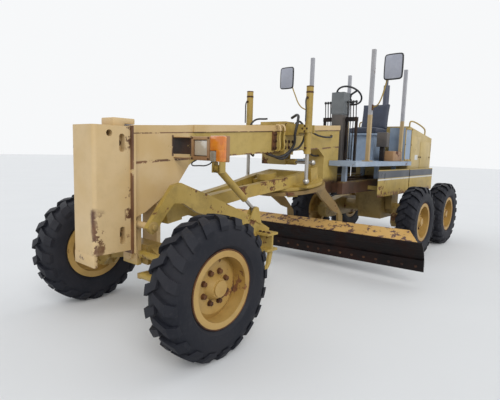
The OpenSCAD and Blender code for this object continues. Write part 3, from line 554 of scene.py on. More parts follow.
BEAM_LAYERS = (
    Layer(CREAM, CREAM_FADED, z=(1.7065, 2.2), rise=BEAM_RISE, hold=0.94),
    Layer(CREAM, CREAM_FADED, y=(-0.30, 0.44), z=(0.6, 2.2), ragged=0.05, edge=0.05, hold=0.97),
    Layer(BROWN, BROWN_LIGHT, x=(-0.2, 0.2), y=(-0.235, -0.205), edge=0.004, ragged=0.006, hold=0.8),
    Layer(BROWN, DARK_OIL, y=(0.218, 0.238), z=(1.512, 1.698), edge=0.006, ragged=0.006, hold=0.8),
    Layer(BROWN, DARK_OIL, y=(0.432, 0.452), z=(1.512, 1.698), edge=0.006, ragged=0.006, hold=0.8),
    Layer(BROWN, BROWN_LIGHT, z=(1.700, 1.709), rise=BEAM_RISE, edge=0.003, ragged=0.004, hold=0.66),
    Layer(BROWN, BROWN_LIGHT, z=(1.455, 1.475), rise=BEAM_RISE, edge=0.006, ragged=0.012, hold=0.50),
    Layer(DARK_OIL, BROWN, y=(2.2, 7.0), z=(0.5, 1.20), edge=0.05, ragged=0.08, hold=0.90))
WEIGHT_LAYERS = (
    Layer(BROWN, BROWN_LIGHT, z=(0.60, 0.745), edge=0.03, ragged=0.10, hold=0.30),
    Layer(BROWN, BROWN_LIGHT, x=(0.120, 0.172), y=(-0.56, -0.46), z=(0.74, 1.10), edge=0.02, ragged=0.05, hold=0.45),
    Layer(BROWN, BROWN_LIGHT, y=(-0.27, -0.20), edge=0.012, ragged=0.03, hold=0.32))
PANEL_LAYERS = (
    Layer((0.045, 0.052, 0.066), (0.075, 0.080, 0.090), y=(3.7, 7.0), z=(1.215, 1.33), hold=0.86),
    Layer((0.55, 0.55, 0.52), (0.60, 0.60, 0.58), y=(3.7, 7.0), z=(1.185, 1.205), hold=0.80),
    Layer(BROWN, BROWN_LIGHT, z=(0.90, 0.99), edge=0.03, ragged=0.08, hold=0.5))
HOOD_LAYERS = (Layer(BROWN, BROWN_LIGHT, z=(1.18, 1.26), edge=0.02, ragged=0.06, hold=0.45),)
CONSOLE_LAYERS = (Layer((0.055, 0.048, 0.045), (0.095, 0.080, 0.070), z=(1.4, 2.15), ragged=0.02, hold=0.97),)
POST_LAYERS = (Layer((0.36, 0.25, 0.12), (0.42, 0.31, 0.16), z=(1.4, 2.14), ragged=0.04, hold=0.92),)
BLADE_LAYERS = (
    Layer((0.115, 0.062, 0.052), (0.150, 0.080, 0.058), up=0.80, hold=0.94),
    Layer((0.56, 0.345, 0.115), (0.50, 0.290, 0.090), up=0.80, hold=0.58))

FINISHES = {
    "painted_frame": PaintFinish("frame_paint", (0.350, 0.232, 0.045), (0.410, 0.285, 0.072), Wear.RUSTY, grime=0.6),
    "beam_paint": LayeredFinish("beam_paint", PaintFinish("beam_base", OCHRE, OCHRE_FADED), BEAM_LAYERS),
    "hood_paint": LayeredFinish("hood_paint", PaintFinish("hood_base", (0.420, 0.305, 0.105), (0.480, 0.360, 0.150),
                                                          Wear.RUSTY, grime=0.4), HOOD_LAYERS),
    "faded_paint": LayeredFinish("weight_paint", PaintFinish("weight_base", CREAM, CREAM_FADED, Wear.SOUND,
                                                             grime=0.16), WEIGHT_LAYERS),
    "slate_paint": PaintFinish("deck_paint", SLATE, (0.31, 0.37, 0.45), Wear.RUSTY),
    "panel_paint": LayeredFinish("panel_stripes", PaintFinish("panel_base", OCHRE, OCHRE_FADED, grime=0.5),
                                 PANEL_LAYERS),
    "console_paint": LayeredFinish("console_grey", PaintFinish("console_base", (0.100, 0.112, 0.120),
                                                               (0.150, 0.160, 0.165)), CONSOLE_LAYERS),
    "lever_steel": RustFinish("lever_metal", (0.008, 0.007, 0.008), (0.040, 0.024, 0.016)),
    "seat_cover": PlasticFinish("seat_vinyl", (0.026, 0.032, 0.052), (0.050, 0.060, 0.090), 120.0, 0.55),
    "post_paint": LayeredFinish("post_paint", PaintFinish("post_grey", (0.32, 0.32, 0.345), (0.37, 0.36, 0.37)),
                                POST_LAYERS),
    "engine_paint": RustFinish("engine_metal", (0.02, 0.018, 0.016), (0.07, 0.045, 0.03)),
    "black_metal": PaintFinish("stack_black", (0.048, 0.053, 0.080), (0.072, 0.078, 0.110)),
    "lamp_housing": PaintFinish("lamp_rust", (0.235, 0.115, 0.050), (0.33, 0.19, 0.085), Wear.ROTTEN,
                                rust_dark=(0.045, 0.016, 0.010), rust_light=(0.13, 0.045, 0.020)),
    "mirror_shell": PlasticFinish("mirror_back", (0.31, 0.32, 0.37), (0.37, 0.38, 0.43), 80.0, 0.4),
    "casting_paint": PaintFinish("casting_paint", (0.300, 0.195, 0.050), (0.36, 0.245, 0.08), Wear.RUSTY, grime=0.7),
    "bright_steel": SteelFinish("rod_steel"),
    "rusty_paint": PaintFinish("circle_rust", (0.20, 0.125, 0.040), (0.26, 0.17, 0.06), Wear.ROTTEN, grime=0.6),
    # The blade's two finishes are near black: dark rust with painted shade of the blade's front face in it
    "blade_rust": RustFinish("blade_rust"),
    "blade_plate": LayeredFinish("blade_plate", RustFinish("blade_base"), BLADE_LAYERS),
    "tyre_rubber": RubberFinish("tyre_rubber"),
    "rim_paint": PaintFinish("rim_paint", (0.350, 0.205, 0.048), (0.410, 0.260, 0.080), Wear.RUSTY),
    "black_rim": PlasticFinish("wheel_black", (0.010, 0.010, 0.012), (0.025, 0.025, 0.028), 200.0, 0.4),
    "rust_ring": RustFinish("rust_ring", (0.045, 0.020, 0.012), (0.16, 0.070, 0.028), (0.40, 0.24, 0.06), 0.25),
    "bolt_rust": RustFinish("bolt_rust", (0.030, 0.014, 0.010), (0.11, 0.050, 0.024)),
    # The lenses' second colours are painted highlights on the glass
    "clear_lens": LensFinish("clear_lens", (0.42, 0.36, 0.28), (0.66, 0.63, 0.58), 0.55, 220.0),
    "small_lens": LensFinish("small_lens", (0.20, 0.17, 0.13), (0.30, 0.27, 0.22), 0.4, 160.0),
    "amber_lens": LensFinish("amber_lens", (0.58, 0.150, 0.003), (0.70, 0.24, 0.010), 0.5, 160.0),
    "hose_rubber": PlasticFinish("hose_rubber", (0.012, 0.011, 0.012), (0.035, 0.028, 0.020), 90.0, 0.55),
    "knob_black": PlasticFinish("knob_black", (0.008, 0.008, 0.009), (0.02, 0.02, 0.02), 200.0, 0.3),
    "blank_plate": PlasticFinish("blank_plate", (0.60, 0.60, 0.57), (0.48, 0.46, 0.42), 60.0, 0.4),
}

# CAD nodes whose finish differs from that of their record slot
NODE_LOOKS = {"main_frame": "beam_paint", "mouldboard": "blade_plate", "hood": "hood_paint", "grille": "hood_paint"}


@dataclass
class Wardrobe:
    """Builds each finish once and dresses CAD nodes and new pieces in it."""

    made: dict[str, bpy.types.Material] = field(default_factory=dict)

    def get(self, finish: str) -> bpy.types.Material:
        """Gives a finish's material, and makes it the first time.

        Args:
            finish: a name in FINISHES, which holds every material slot of the record.

        Returns:
            The material.
        """
        if finish not in self.made:
            self.made[finish] = FINISHES[finish].build()
        return self.made[finish]

    def dress_frame(self) -> None:
        """Gives every CAD node the finish of its record slot, or its own in NODE_LOOKS."""
        slots = {part["node"]: part["material_slot"] for part in frame["record"]["subparts"]}
        for node, slot in slots.items():
            thing = frame["nodes"][node]
            for piece in ([thing] if thing.type == "MESH" else list(thing.children_recursive)):
                if piece.type == "MESH":
                    for holder in piece.material_slots:
                        holder.material = self.get(NODE_LOOKS.get(node, slot))
        LOG.info("dressed %d CAD nodes", len(slots))


WARDROBE = Wardrobe()


class Bench:
    """Shared modelling steps: a primitive in place, shaped, finished and hung on a body."""

    @staticmethod
    def clear() -> None:
        """Leaves nothing selected and no edit mode open."""
        if bpy.context.mode != "OBJECT":
            bpy.ops.object.mode_set(mode="OBJECT")
        bpy.ops.object.select_all(action="DESELECT")

    @staticmethod
    def only(thing: bpy.types.Object) -> None:
        """Selects one object alone and makes it active."""
        Bench.clear()
        thing.select_set(True)
        bpy.context.view_layer.objects.active = thing

    @staticmethod
    def apply_place(thing: bpy.types.Object) -> None:
        """Applies an object's place alone and leaves its modifiers."""
        Bench.only(thing)
        bpy.ops.object.transform_apply(location=True, rotation=True, scale=True)

    @staticmethod
    def apply(thing: bpy.types.Object) -> None:
        """Applies an object's modifiers and its place.

        Args:
            thing: the object.
        """
        Bench.only(thing)
        for modifier in list(thing.modifiers):
            bpy.ops.object.modifier_apply(modifier=modifier.name)
        Bench.apply_place(thing)

    @staticmethod
    def twin(thing: bpy.types.Object) -> bpy.types.Object:
        """Copies an object together with its mesh.

        Args:
            thing: the object.

        Returns:
            The copy.
        """
        copy = thing.copy()
        copy.data = thing.data.copy()
        bpy.context.collection.objects.link(copy)
        return copy

    @staticmethod
    def bevel(thing: bpy.types.Object, width: float, segments: int = 2, angle: float = 35.0) -> None:
        """Adds a bevel to edges sharper than an angle.

        Args:
            thing: the object.
            width: bevel width in metres.
            segments: its segments.
            angle: least edge angle in degrees.
        """
        modifier = thing.modifiers.new("edge", "BEVEL")
        modifier.width = width
        modifier.segments = segments
        modifier.limit_method = "ANGLE"
        modifier.angle_limit = math.radians(angle)

    @staticmethod
    def round_edges(thing: bpy.types.Object, radius: float, segments: int,
                    chosen: Callable[[bmesh.types.BMEdge], bool]) -> None:
        """Rounds some of an object's edges in its mesh.

        Args:
            thing: the object, whose place is applied first.
            radius: radius of the rounded edges.
            segments: flats round each edge.
            chosen: says whether an edge is rounded.
        """
        Bench.apply_place(thing)
        shape = bmesh.new()
        shape.from_mesh(thing.data)
        edges = [edge for edge in shape.edges if chosen(edge)]
        bmesh.ops.bevel(shape, geom=edges, offset=radius, segments=segments, affect="EDGES", profile=0.5)
        shape.to_mesh(thing.data)
        shape.free()

    @staticmethod
    def block(name: str, low: Point, high: Point, edge: float = 0.004) -> bpy.types.Object:
        """Makes a box with rounded edges between two corners.

        Args:
            name: object name.
            low: its low corner.
            high: its high corner.
            edge: radius of its edges.

        Returns:
            The object.
        """
        Bench.clear()
        centre = [(a + b) / 2 for a, b in zip(low, high)]
        bpy.ops.mesh.primitive_cube_add(size=1.0, location=centre)
        thing = bpy.context.object
        thing.name = name
        thing.scale = [b - a for a, b in zip(low, high)]
        Bench.only(thing)
        bpy.ops.object.transform_apply(location=False, rotation=False, scale=True)
        if edge > 0:
            Bench.bevel(thing, edge)
        return thing

    @staticmethod
    def block_on(side: Side, name: str, x: Span, y: Span, z: Span, edge: float = 0.004) -> bpy.types.Object:
        """Makes a box with rounded edges on one side of the machine.

        Args:
            side: the side.
            name: object name.
            x: its two distances from the centre plane.
            y: its two distances behind the front axle.
            z: its two heights.
            edge: radius of its edges.

        Returns:
            The object.
        """
        x0, x1 = side.span(x)
        return Bench.block(name, at(x0, y[0], z[0]), at(x1, y[1], z[1]), edge)

    @staticmethod
    def rod(name: str, start: Point, end: Point, radius: float, edge: float = 0.002,
            sides: int = 24) -> bpy.types.Object:
        """Makes a round bar with softened ends between two points.

        Args:
            name: object name.
            start: one end.
            end: the other end.
            radius: its radius.
            edge: radius of its end edges.
            sides: sides round it.

        Returns:
            The object.
        """
        Bench.clear()
        run = Vector(end) - Vector(start)
        bpy.ops.mesh.primitive_cylinder_add(vertices=sides, radius=radius, depth=run.length,
                                            location=(Vector(start) + Vector(end)) / 2,
                                            rotation=run.to_track_quat("Z", "Y").to_euler())
        thing = bpy.context.object
        thing.name = name
        if edge > 0:
            Bench.bevel(thing, edge, 2, 40.0)
        return thing

    @staticmethod
    def tube(name: str, points: list[Point], radius: float, closed: bool = False) -> bpy.types.Object:
        """Makes a smooth tube along points.

        Args:
            name: object name.
            points: its path.
            radius: its radius.
            closed: whether it runs round to its start.

        Returns:
            The mesh object.
        """
        Bench.clear()
        curve = bpy.data.curves.new(name, "CURVE")
        curve.dimensions = "3D"
        curve.bevel_depth = radius
        curve.bevel_resolution = 4
        curve.resolution_u = 8
        curve.use_fill_caps = True
        spline = curve.splines.new("BEZIER")
        spline.bezier_points.add(len(points) - 1)
        for knot, point in zip(spline.bezier_points, points):
            knot.co = point
            knot.handle_left_type = knot.handle_right_type = "AUTO"
        spline.use_cyclic_u = closed
        thing = bpy.data.objects.new(name, curve)
        bpy.context.collection.objects.link(thing)
        Bench.only(thing)
        bpy.ops.object.convert(target="MESH")
        return bpy.context.object

    @staticmethod
    def prism(name: str, outline: list[tuple[float, float]], x: Span, edge: float = 0.003) -> bpy.types.Object:
        """Pulls a side outline through the machine's width.

        Args:
            name: object name.
            outline: (y, z) points, y from the front axle.
            x: its two ends.
            edge: radius of its edges.

        Returns:
            The object.
        """
        Bench.clear()
        bpy.ops.mesh.primitive_plane_add(size=0.01)
        thing = bpy.context.object
        thing.name = name
        shape = bmesh.new()
        face = shape.faces.new([shape.verts.new(at(x[0], y, z)) for y, z in outline])
        pulled = bmesh.ops.extrude_face_region(shape, geom=[face])["geom"]
        moved = [item for item in pulled if isinstance(item, bmesh.types.BMVert)]
        bmesh.ops.translate(shape, verts=moved, vec=(x[1] - x[0], 0.0, 0.0))
        bmesh.ops.recalc_face_normals(shape, faces=shape.faces)
        shape.to_mesh(thing.data)
        shape.free()
        if edge > 0:
            Bench.bevel(thing, edge)
        return thing

    @staticmethod
    def carve(thing: bpy.types.Object, cutter: bpy.types.Object) -> None:
        """Cuts one object out of another and throws the cutter away.

        Args:
            thing: the object that keeps.
            cutter: the shape taken out.
        """
        Bench.apply(cutter)
        modifier = thing.modifiers.new("cut", "BOOLEAN")
        modifier.operation = "DIFFERENCE"
        modifier.solver = "EXACT"
        modifier.object = cutter
        Bench.only(thing)
        bpy.ops.object.modifier_apply(modifier=modifier.name)
        bpy.data.objects.remove(cutter)

    @staticmethod
    def join(name: str, things: list[bpy.types.Object]) -> bpy.types.Object:
        """Applies and joins objects into one.

        Args:
            name: name of the result.
            things: the objects.

        Returns:
            The joined object.
        """
        for thing in things:
            Bench.apply(thing)
        Bench.clear()
        for thing in things:
            thing.select_set(True)
        bpy.context.view_layer.objects.active = things[0]
        if len(things) > 1:
            bpy.ops.object.join()
        joined = bpy.context.object
        joined.name = name
        joined.data.name = name
        return joined

    @staticmethod
    def hang(thing: bpy.types.Object, body: str, slot: str, finish: str | None = None,
             angle: float = 35.0) -> bpy.types.Object:
        """Applies a piece, shades it, dresses it and lets it ride on a body.

        Args:
            thing: the piece.
            body: the body that it moves with.
            slot: the record's material slot.
            finish: its finish, or the slot's own.
            angle: edges flatter than this many degrees are shaded smooth.

        Returns:
            The piece.
        """
        Bench.apply(thing)
        bpy.ops.object.shade_smooth_by_angle(angle=math.radians(angle))
        thing.data.materials.clear()
        thing.data.materials.append(WARDROBE.get(finish or slot))
        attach(thing, body)
        LOG.info("piece %s: %d faces on %s", thing.name, len(thing.data.polygons), body)
        return thing

    @staticmethod
    def bolts(name: str, places: list[Point], axis: Point, radius: float = 0.013, height: float = 0.012,
              body: str = "root", slot: str = "painted_frame") -> bpy.types.Object:
        """Makes rusty hexagon heads on washers, all along one axis, and hangs them on a body.

        Args:
            name: object name.
            places: the points where they sit.
            axis: the way they stand out.
            radius: radius over the corners.
            height: height of a head.
            body: the body that they move with.
            slot: the record's material slot.

        Returns:
            The joined heads.
        """
        sunk, washer, washer_share = 0.001, 0.003, 1.45
        heads = []
        for place in places:
            foot, out = Vector(place), Vector(axis).normalized()
            heads.append(Bench.rod(name, foot - sunk * out, foot + washer * out, radius * washer_share, 0.0, 16))
            heads.append(Bench.rod(name, foot + (washer - sunk) * out, foot + height * out, radius, 0.0015, 6))
        return Bench.hang(Bench.join(name, heads), body, slot, "bolt_rust")


@dataclass(frozen=True)
class Wheel:
    """One wheel: a tyre with chevron lugs, and the rings and nuts of its rim."""

    place: str
    side: Side
    x: float
    y: float
    radius: float = 0.550
    width: float = 0.295
    rim_radius: float = 0.305
    rim_width: float = 0.236
    lug_rows: int = 20
    lug_height: float = 0.030
    lug_length: float = 0.064
    lug_slant: float = 0.085
    lug_lead: float = 0.030
    lug_lap: float = 0.012
    lug_clearance: float = 0.0005
    # A bar's width as a share of lug_length: at the crown, what it gains to the shoulder, at its top and at its foot
    lug_widths: tuple[float, float, float, float] = (0.80, 0.45, 0.78, 1.12)
    # Where along a bar the shoulder starts to fall, and how steeply
    shoulder: Span = (0.70, 0.34)
    spin_steps: int = 76
    nuts: int = 8
    nut_circle: float = 0.125
    nut_foot: float = 0.022

    @property
    def body(self) -> str:
        """The body that the wheel's pieces ride on."""
        return f"wheel_{self.place}"

    @property
    def centre(self) -> Vector:
        """The wheel's centre in the frame."""
        return Vector(at(self.x * self.side.value, self.y, self.radius))

    def carcass(self) -> bpy.types.Object:
        """Spins the tyre's section round its axle.

        Returns:
            The carcass.
        """
        half = self.width / 2
        base = self.radius - self.lug_height
        # (radius, distance from the middle) from the bead up one wall to the crown
        wall = [(self.rim_radius - 0.010, -0.100), (self.rim_radius + 0.006, -0.112),
                (self.rim_radius + 0.030, -half + 0.012), (self.rim_radius + 0.085, -half),
                (self.rim_radius + 0.140, -half + 0.004), (base - 0.035, -half + 0.018),
                (base - 0.008, -half + 0.048), (base, -half + 0.085), (base + 0.003, 0.0)]
        section = wall + [(r, -across) for r, across in reversed(wall[:-1])]
        Bench.clear()
        bpy.ops.mesh.primitive_plane_add(size=0.01, location=(0, 0, 0))
        thing = bpy.context.object
        shape = bmesh.new()
        ring = [shape.verts.new((across, 0.0, r)) for r, across in section]
        for first, second in zip(ring, ring[1:]):
            shape.edges.new((first, second))
        shape.to_mesh(thing.data)
        shape.free()
        bpy.ops.object.mode_set(mode="EDIT")
        bpy.ops.mesh.select_all(action="SELECT")
        bpy.ops.mesh.spin(steps=self.spin_steps, angle=math.tau, center=(0, 0, 0), axis=(1, 0, 0), dupli=False)
        bpy.ops.mesh.select_all(action="SELECT")
        bpy.ops.mesh.remove_doubles(threshold=0.0005)
        bpy.ops.mesh.normals_make_consistent(inside=False)
        bpy.ops.object.mode_set(mode="OBJECT")
        return thing

    def lug(self) -> bpy.types.Object:
        """Models one slanted tread bar that runs from the crown down the shoulder.

        Returns:
            The bar, at the top of the wheel on its +x half.
        """
        half = self.width / 2
        length = half + 0.006
        top = self.radius - self.lug_clearance
        crown, gain, narrow, broad = self.lug_widths
        start, fall = self.shoulder
        Bench.clear()
        bpy.ops.mesh.primitive_cube_add(size=1.0)
        thing = bpy.context.object
        thing.scale = (length, self.lug_length, 2 * self.lug_height)
        bpy.ops.object.transform_apply(location=False, rotation=False, scale=True)
        bpy.ops.object.mode_set(mode="EDIT")
        bpy.ops.mesh.subdivide(number_cuts=3, smoothness=0.0)
        bpy.ops.object.mode_set(mode="OBJECT")
        for vertex in thing.data.vertices:
            # How far out the vertex lies: 0 at the crown, 1 at the shoulder
            out = vertex.co.x / length + 0.5
            slant = self.lug_slant * (1.0 - min(1.0, max(0.0, out)))
            drop = 0.004 * max(0.0, out) + fall * max(0.0, out - start) ** 1.5
            wide = (crown + gain * out) * (narrow if vertex.co.z > 0 else broad)
            turn = (vertex.co.y * wide + slant - self.lug_lead) / top
            reach = top - drop + min(vertex.co.z, 0.0)
            x = out * (half + 0.014) - self.lug_lap
            vertex.co = (min(x, half), reach * math.sin(turn), reach * math.cos(turn))
        Bench.bevel(thing, 0.004, 2, 30.0)
        Bench.apply(thing)
        return thing

    def tyre(self) -> None:
        """Builds the tyre and puts it in place of the CAD one."""
        pieces = [self.carcass()]
        bar = self.lug()
        other = Bench.twin(bar)
        for vertex in other.data.vertices:
            vertex.co.x = -vertex.co.x
        other.data.flip_normals()
        step = math.tau / self.lug_rows
        for index in range(self.lug_rows):
            for source, turn in ((bar, index * step), (other, (index + 0.5) * step)):
                copy = Bench.twin(source)
                copy.data.transform(Matrix.Rotation(turn, 4, "X"))
                pieces.append(copy)
        for source in (bar, other):
            bpy.data.objects.remove(source)
        whole = Bench.join(f"tyre_{self.place}", pieces)
        whole.data.transform(Matrix.Translation(self.centre))
        Bench.hang(whole, self.body, "tyre_rubber", angle=32.0)
        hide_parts(f"tyre_{self.place}")

    def rim(self) -> None:
        """Adds the lock ring, the bead ring and the nuts with their washers to the rim's outer face."""
        out = self.side.value
        pieces = []
        # Each ring's radius, its thickness and how far out from the wheel's middle it lies
        for radius, thick, depth in ((self.rim_radius - 0.004, 0.007, self.rim_width / 2 - 0.004),
                                     (self.rim_radius - 0.043, 0.006, self.rim_width / 2 - 0.030)):
            Bench.clear()
            bpy.ops.mesh.primitive_torus_add(major_radius=radius, minor_radius=thick, major_segments=72,
                                             minor_segments=10, rotation=(0, math.pi / 2, 0))
            ring = bpy.context.object
            ring.location = (out * depth, 0, 0)
            pieces.append(ring)
        for index in range(self.nuts):
            turn = (index + 0.5) * math.tau / self.nuts
            y, z = self.nut_circle * math.sin(turn), -self.nut_circle * math.cos(turn)
            # From nut_foot to where each reaches, then its radius, edge and sides
            for name, low, high, radius, edge, sides in (("washer", -0.001, 0.004, 0.024, 0.001, 24),
                                                         ("nut", 0.003, 0.028, 0.020, 0.003, 6)):
                pieces.append(Bench.rod(name, (out * (self.nut_foot + low), y, z),
                                        (out * (self.nut_foot + high), y, z), radius, edge, sides))
        whole = Bench.join(f"rim_rings_{self.place}", pieces)
        whole.data.transform(Matrix.Translation(self.centre))
        Bench.hang(whole, self.body, "rim_paint", "rust_ring")

    def build(self) -> None:
        """Builds the wheel's tyre and the trim of its rim."""
        self.tyre()
        self.rim()


@dataclass(frozen=True)
class Weight:
    """The block on the nose: rounded upright edges, slots for its bolts and a hole for the lifting bar."""

    half: float = 0.165
    front: float = -0.545
    rear: float = -0.2253
    top: float = 1.744
    foot: float = 0.734
    corner: float = 0.034
    slot_y: float = -0.300
    slot_radius: float = 0.025
    slot_depth: float = 0.060
    slot_length: float = 0.145
    slot_margin: float = 0.060
    bolt_heights: Span = (0.866, 1.611)
    hole: Span = (-0.410, 1.684)
    hole_radius: float = 0.026

    def block(self) -> bpy.types.Object:
        """Models the block with its front upright edges rounded.

        Returns:
            The block.
        """
        thing = Bench.block("weight_block", at(-self.half, self.front, self.foot), at(self.half, self.rear, self.top),
                            0.005)
        back = AXLE_Y + self.rear - 0.01
        Bench.round_edges(thing, self.corner, 7, lambda edge: edge.verts[0].co.y < back
                          and abs(edge.verts[0].co.z - edge.verts[1].co.z) > 0.5)
        return thing

    def carve_slots(self, block: bpy.types.Object) -> None:
        """Cuts a slot with round ends at the foot and the top of both sides, and the lifting bar's hole.

        Args:
            block: the block that is cut.
        """
        r, y = self.slot_radius, self.slot_y
        x = (self.half - self.slot_depth, self.half + 0.050)
        feet = (self.foot + self.slot_margin, self.top - self.slot_margin - self.slot_length)
        for low in feet:
            ends = (low + r, low + self.slot_length - r)
            for side in reversed(Side):
                x0, x1 = side.span(x)
                Bench.carve(block, Bench.block_on(side, "slot_middle", x, (y - r, y + r), ends, 0.0))
                for z in ends:
                    Bench.carve(block, Bench.rod("slot_end", at(x0, y, z), at(x1, y, z), r, 0.0, 32))
        through = 0.3
        Bench.carve(block, Bench.rod("hole", at(-through, *self.hole), at(through, *self.hole), self.hole_radius,
                                     0.0, 32))

    def build(self) -> None:
        """Builds the weight, its lip and its lug in place of the CAD block, and the bolts in its slots."""
        block = self.block()
        self.carve_slots(block)
        lip = Bench.block("weight_lip", at(-self.half + 0.012, self.front, self.foot - 0.100),
                          at(self.half - 0.012, self.front + 0.032, self.foot + 0.002), 0.008)
        lug = Bench.prism("weight_lug", [(-0.330, 1.742), (self.rear, 1.742), (self.rear, 1.765), (-0.130, 1.765),
                                         (-0.130, 1.812), (-0.330, 1.812)], (-0.09, 0.09), 0.008)
        whole = Bench.join("front_weight_block", [block, lip, lug])
        Bench.hang(whole, "root", "faded_paint", angle=30.0)
        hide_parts("front_weight")
        for side in Side:
            s = side.value
            heads = [at(s * (self.half - self.slot_depth), self.slot_y, z) for z in self.bolt_heights]
            Bench.bolts(f"weight_bolts_{side.label}", heads, (s, 0, 0), 0.018, 0.016, slot="faded_paint")


@dataclass(frozen=True)
class Lamps:
    """Headlamps in rusty frames with an amber and clear side lamp, one group on each side of the nose."""

    inner: float = 0.378
    middle: float = 0.600
    outer: float = 0.752
    y: float = 0.232
    low: float = 1.487
    high: float = 1.686
    beam: float = 0.1403

    def housing(self, side: Side) -> None:
        """Builds the rusty frame of one side, with its recess, its tail and the arms to the beam.

        Args:
            side: the side.
        """
        y = self.y
        shell = Bench.block_on(side, "lamp_shell", (self.inner, self.middle), (y, y + 0.105), (self.low, self.high),
                               0.006)
        Bench.apply(shell)
        Bench.carve(shell, Bench.block_on(side, "lamp_recess", (self.inner + 0.026, self.middle - 0.026),
                                          (y - 0.02, y + 0.030), (self.low + 0.034, self.high - 0.026), 0.0))
        arms = [Bench.block_on(side, "lamp_arm", (self.beam, self.inner + 0.004), (y + 0.004, y + 0.062), z, 0.002)
                for z in ((1.496, 1.502), (1.676, 1.682))]
        tail = Bench.block_on(side, "lamp_tail", (self.middle - 0.004, self.outer), (y + 0.050, y + 0.090),
                              (self.low - 0.006, self.high + 0.008), 0.006)
        whole = Bench.join(f"lamp_frame_{side.label}", [shell, tail, *arms])
        Bench.hang(whole, "root", "lamp_housing")
        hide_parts("front_lamps")

    def glasses(self, side: Side) -> None:
        """Builds the headlamp's glass and the amber and clear parts of the side lamp.

        Args:
            side: the side.
        """
        y, middle = self.y, self.middle
        split_x, split_z = middle + 0.076, self.low + 0.082
        glass = Bench.block_on(side, f"headlamp_{side.label}", (self.inner + 0.030, middle - 0.030),
                               (y + 0.008, y + 0.031), (self.low + 0.038, self.high - 0.030), 0.014)
        Bench.hang(glass, "root", "lamp_housing", "clear_lens")
        amber = [Bench.block_on(side, "amber_top", (middle + 0.004, self.outer), (y, y + 0.052),
                                (split_z, self.high + 0.006), 0.010),
                 Bench.block_on(side, "amber_foot", (split_x, self.outer), (y, y + 0.052),
                                (self.low - 0.004, split_z + 0.02), 0.010)]
        Bench.hang(Bench.join(f"side_lamp_{side.label}", amber), "root", "lamp_housing", "amber_lens")
        clear = Bench.block_on(side, f"clear_part_{side.label}", (middle + 0.004, split_x - 0.001),
                               (y + 0.001, y + 0.050), (self.low - 0.004, split_z - 0.001), 0.008)
        Bench.hang(clear, "root", "lamp_housing", "small_lens")

    def fittings(self, side: Side) -> None:
        """Adds the wire under the headlamp and the screws of its frame.

        Args:
            side: the side.
        """
        s, y, low = side.value, self.y, self.low
        sag = ((self.inner + 0.02, 0.05, 0.002), (self.inner - 0.01, 0.02, -0.030), (self.inner + 0.10, 0.01, -0.045),
               (self.middle - 0.03, 0.03, -0.030), (self.middle - 0.01, 0.06, 0.002))
        wire = Bench.tube(f"lamp_wire_{side.label}", [at(s * x, y + back, low + up) for x, back, up in sag], 0.0055)
        Bench.hang(wire, "root", "lamp_housing", "hose_rubber")
        heads = [at(s * x, y, z) for x in (self.inner + 0.012, self.middle - 0.012)
                 for z in (low + 0.014, self.high - 0.012)]
        Bench.bolts(f"lamp_screws_{side.label}", heads, (0, -1, 0), 0.006, 0.005, slot="lamp_housing")

    def build(self) -> None:
        """Builds both groups."""
        for side in Side:
            self.housing(side)
            self.glasses(side)
            self.fittings(side)


@dataclass(frozen=True)
class Hose:
    """A hose fixed at both ends: its radius and the points that it runs through, y from the front axle."""

    name: str
    radius: float
    path: tuple[Point, ...]


HOSES = (
    Hose("hose_a", 0.016, ((0.150, 1.60, 1.545), (0.215, 1.76, 1.520), (0.300, 1.88, 1.640), (0.352, 1.84, 1.800),
                           (0.360, 1.87, 1.930), (0.300, 1.95, 2.010), (0.185, 2.00, 1.985))),
    Hose("hose_b", 0.013, ((0.150, 1.66, 1.530), (0.235, 1.80, 1.500), (0.270, 1.88, 1.580), (0.275, 2.08, 1.660),
                           (0.285, 2.14, 1.800), (0.230, 2.12, 1.945), (0.150, 2.14, 1.930))),
    Hose("hose_c", 0.012, ((0.150, 2.20, 1.900), (0.200, 2.35, 1.860), (0.215, 2.60, 1.800), (0.200, 2.95, 1.800),
                           (0.155, 3.05, 1.820))),
    Hose("hose_d", 0.011, ((-0.150, 1.64, 1.545), (-0.230, 1.80, 1.530), (-0.345, 1.84, 1.760),
                           (-0.330, 1.90, 1.950), (-0.185, 2.00, 1.985))),
    Hose("hose_e", 0.012, ((0.060, 2.54, 1.630), (0.075, 2.60, 1.575), (0.070, 2.75, 1.535), (0.060, 2.884, 1.540))))


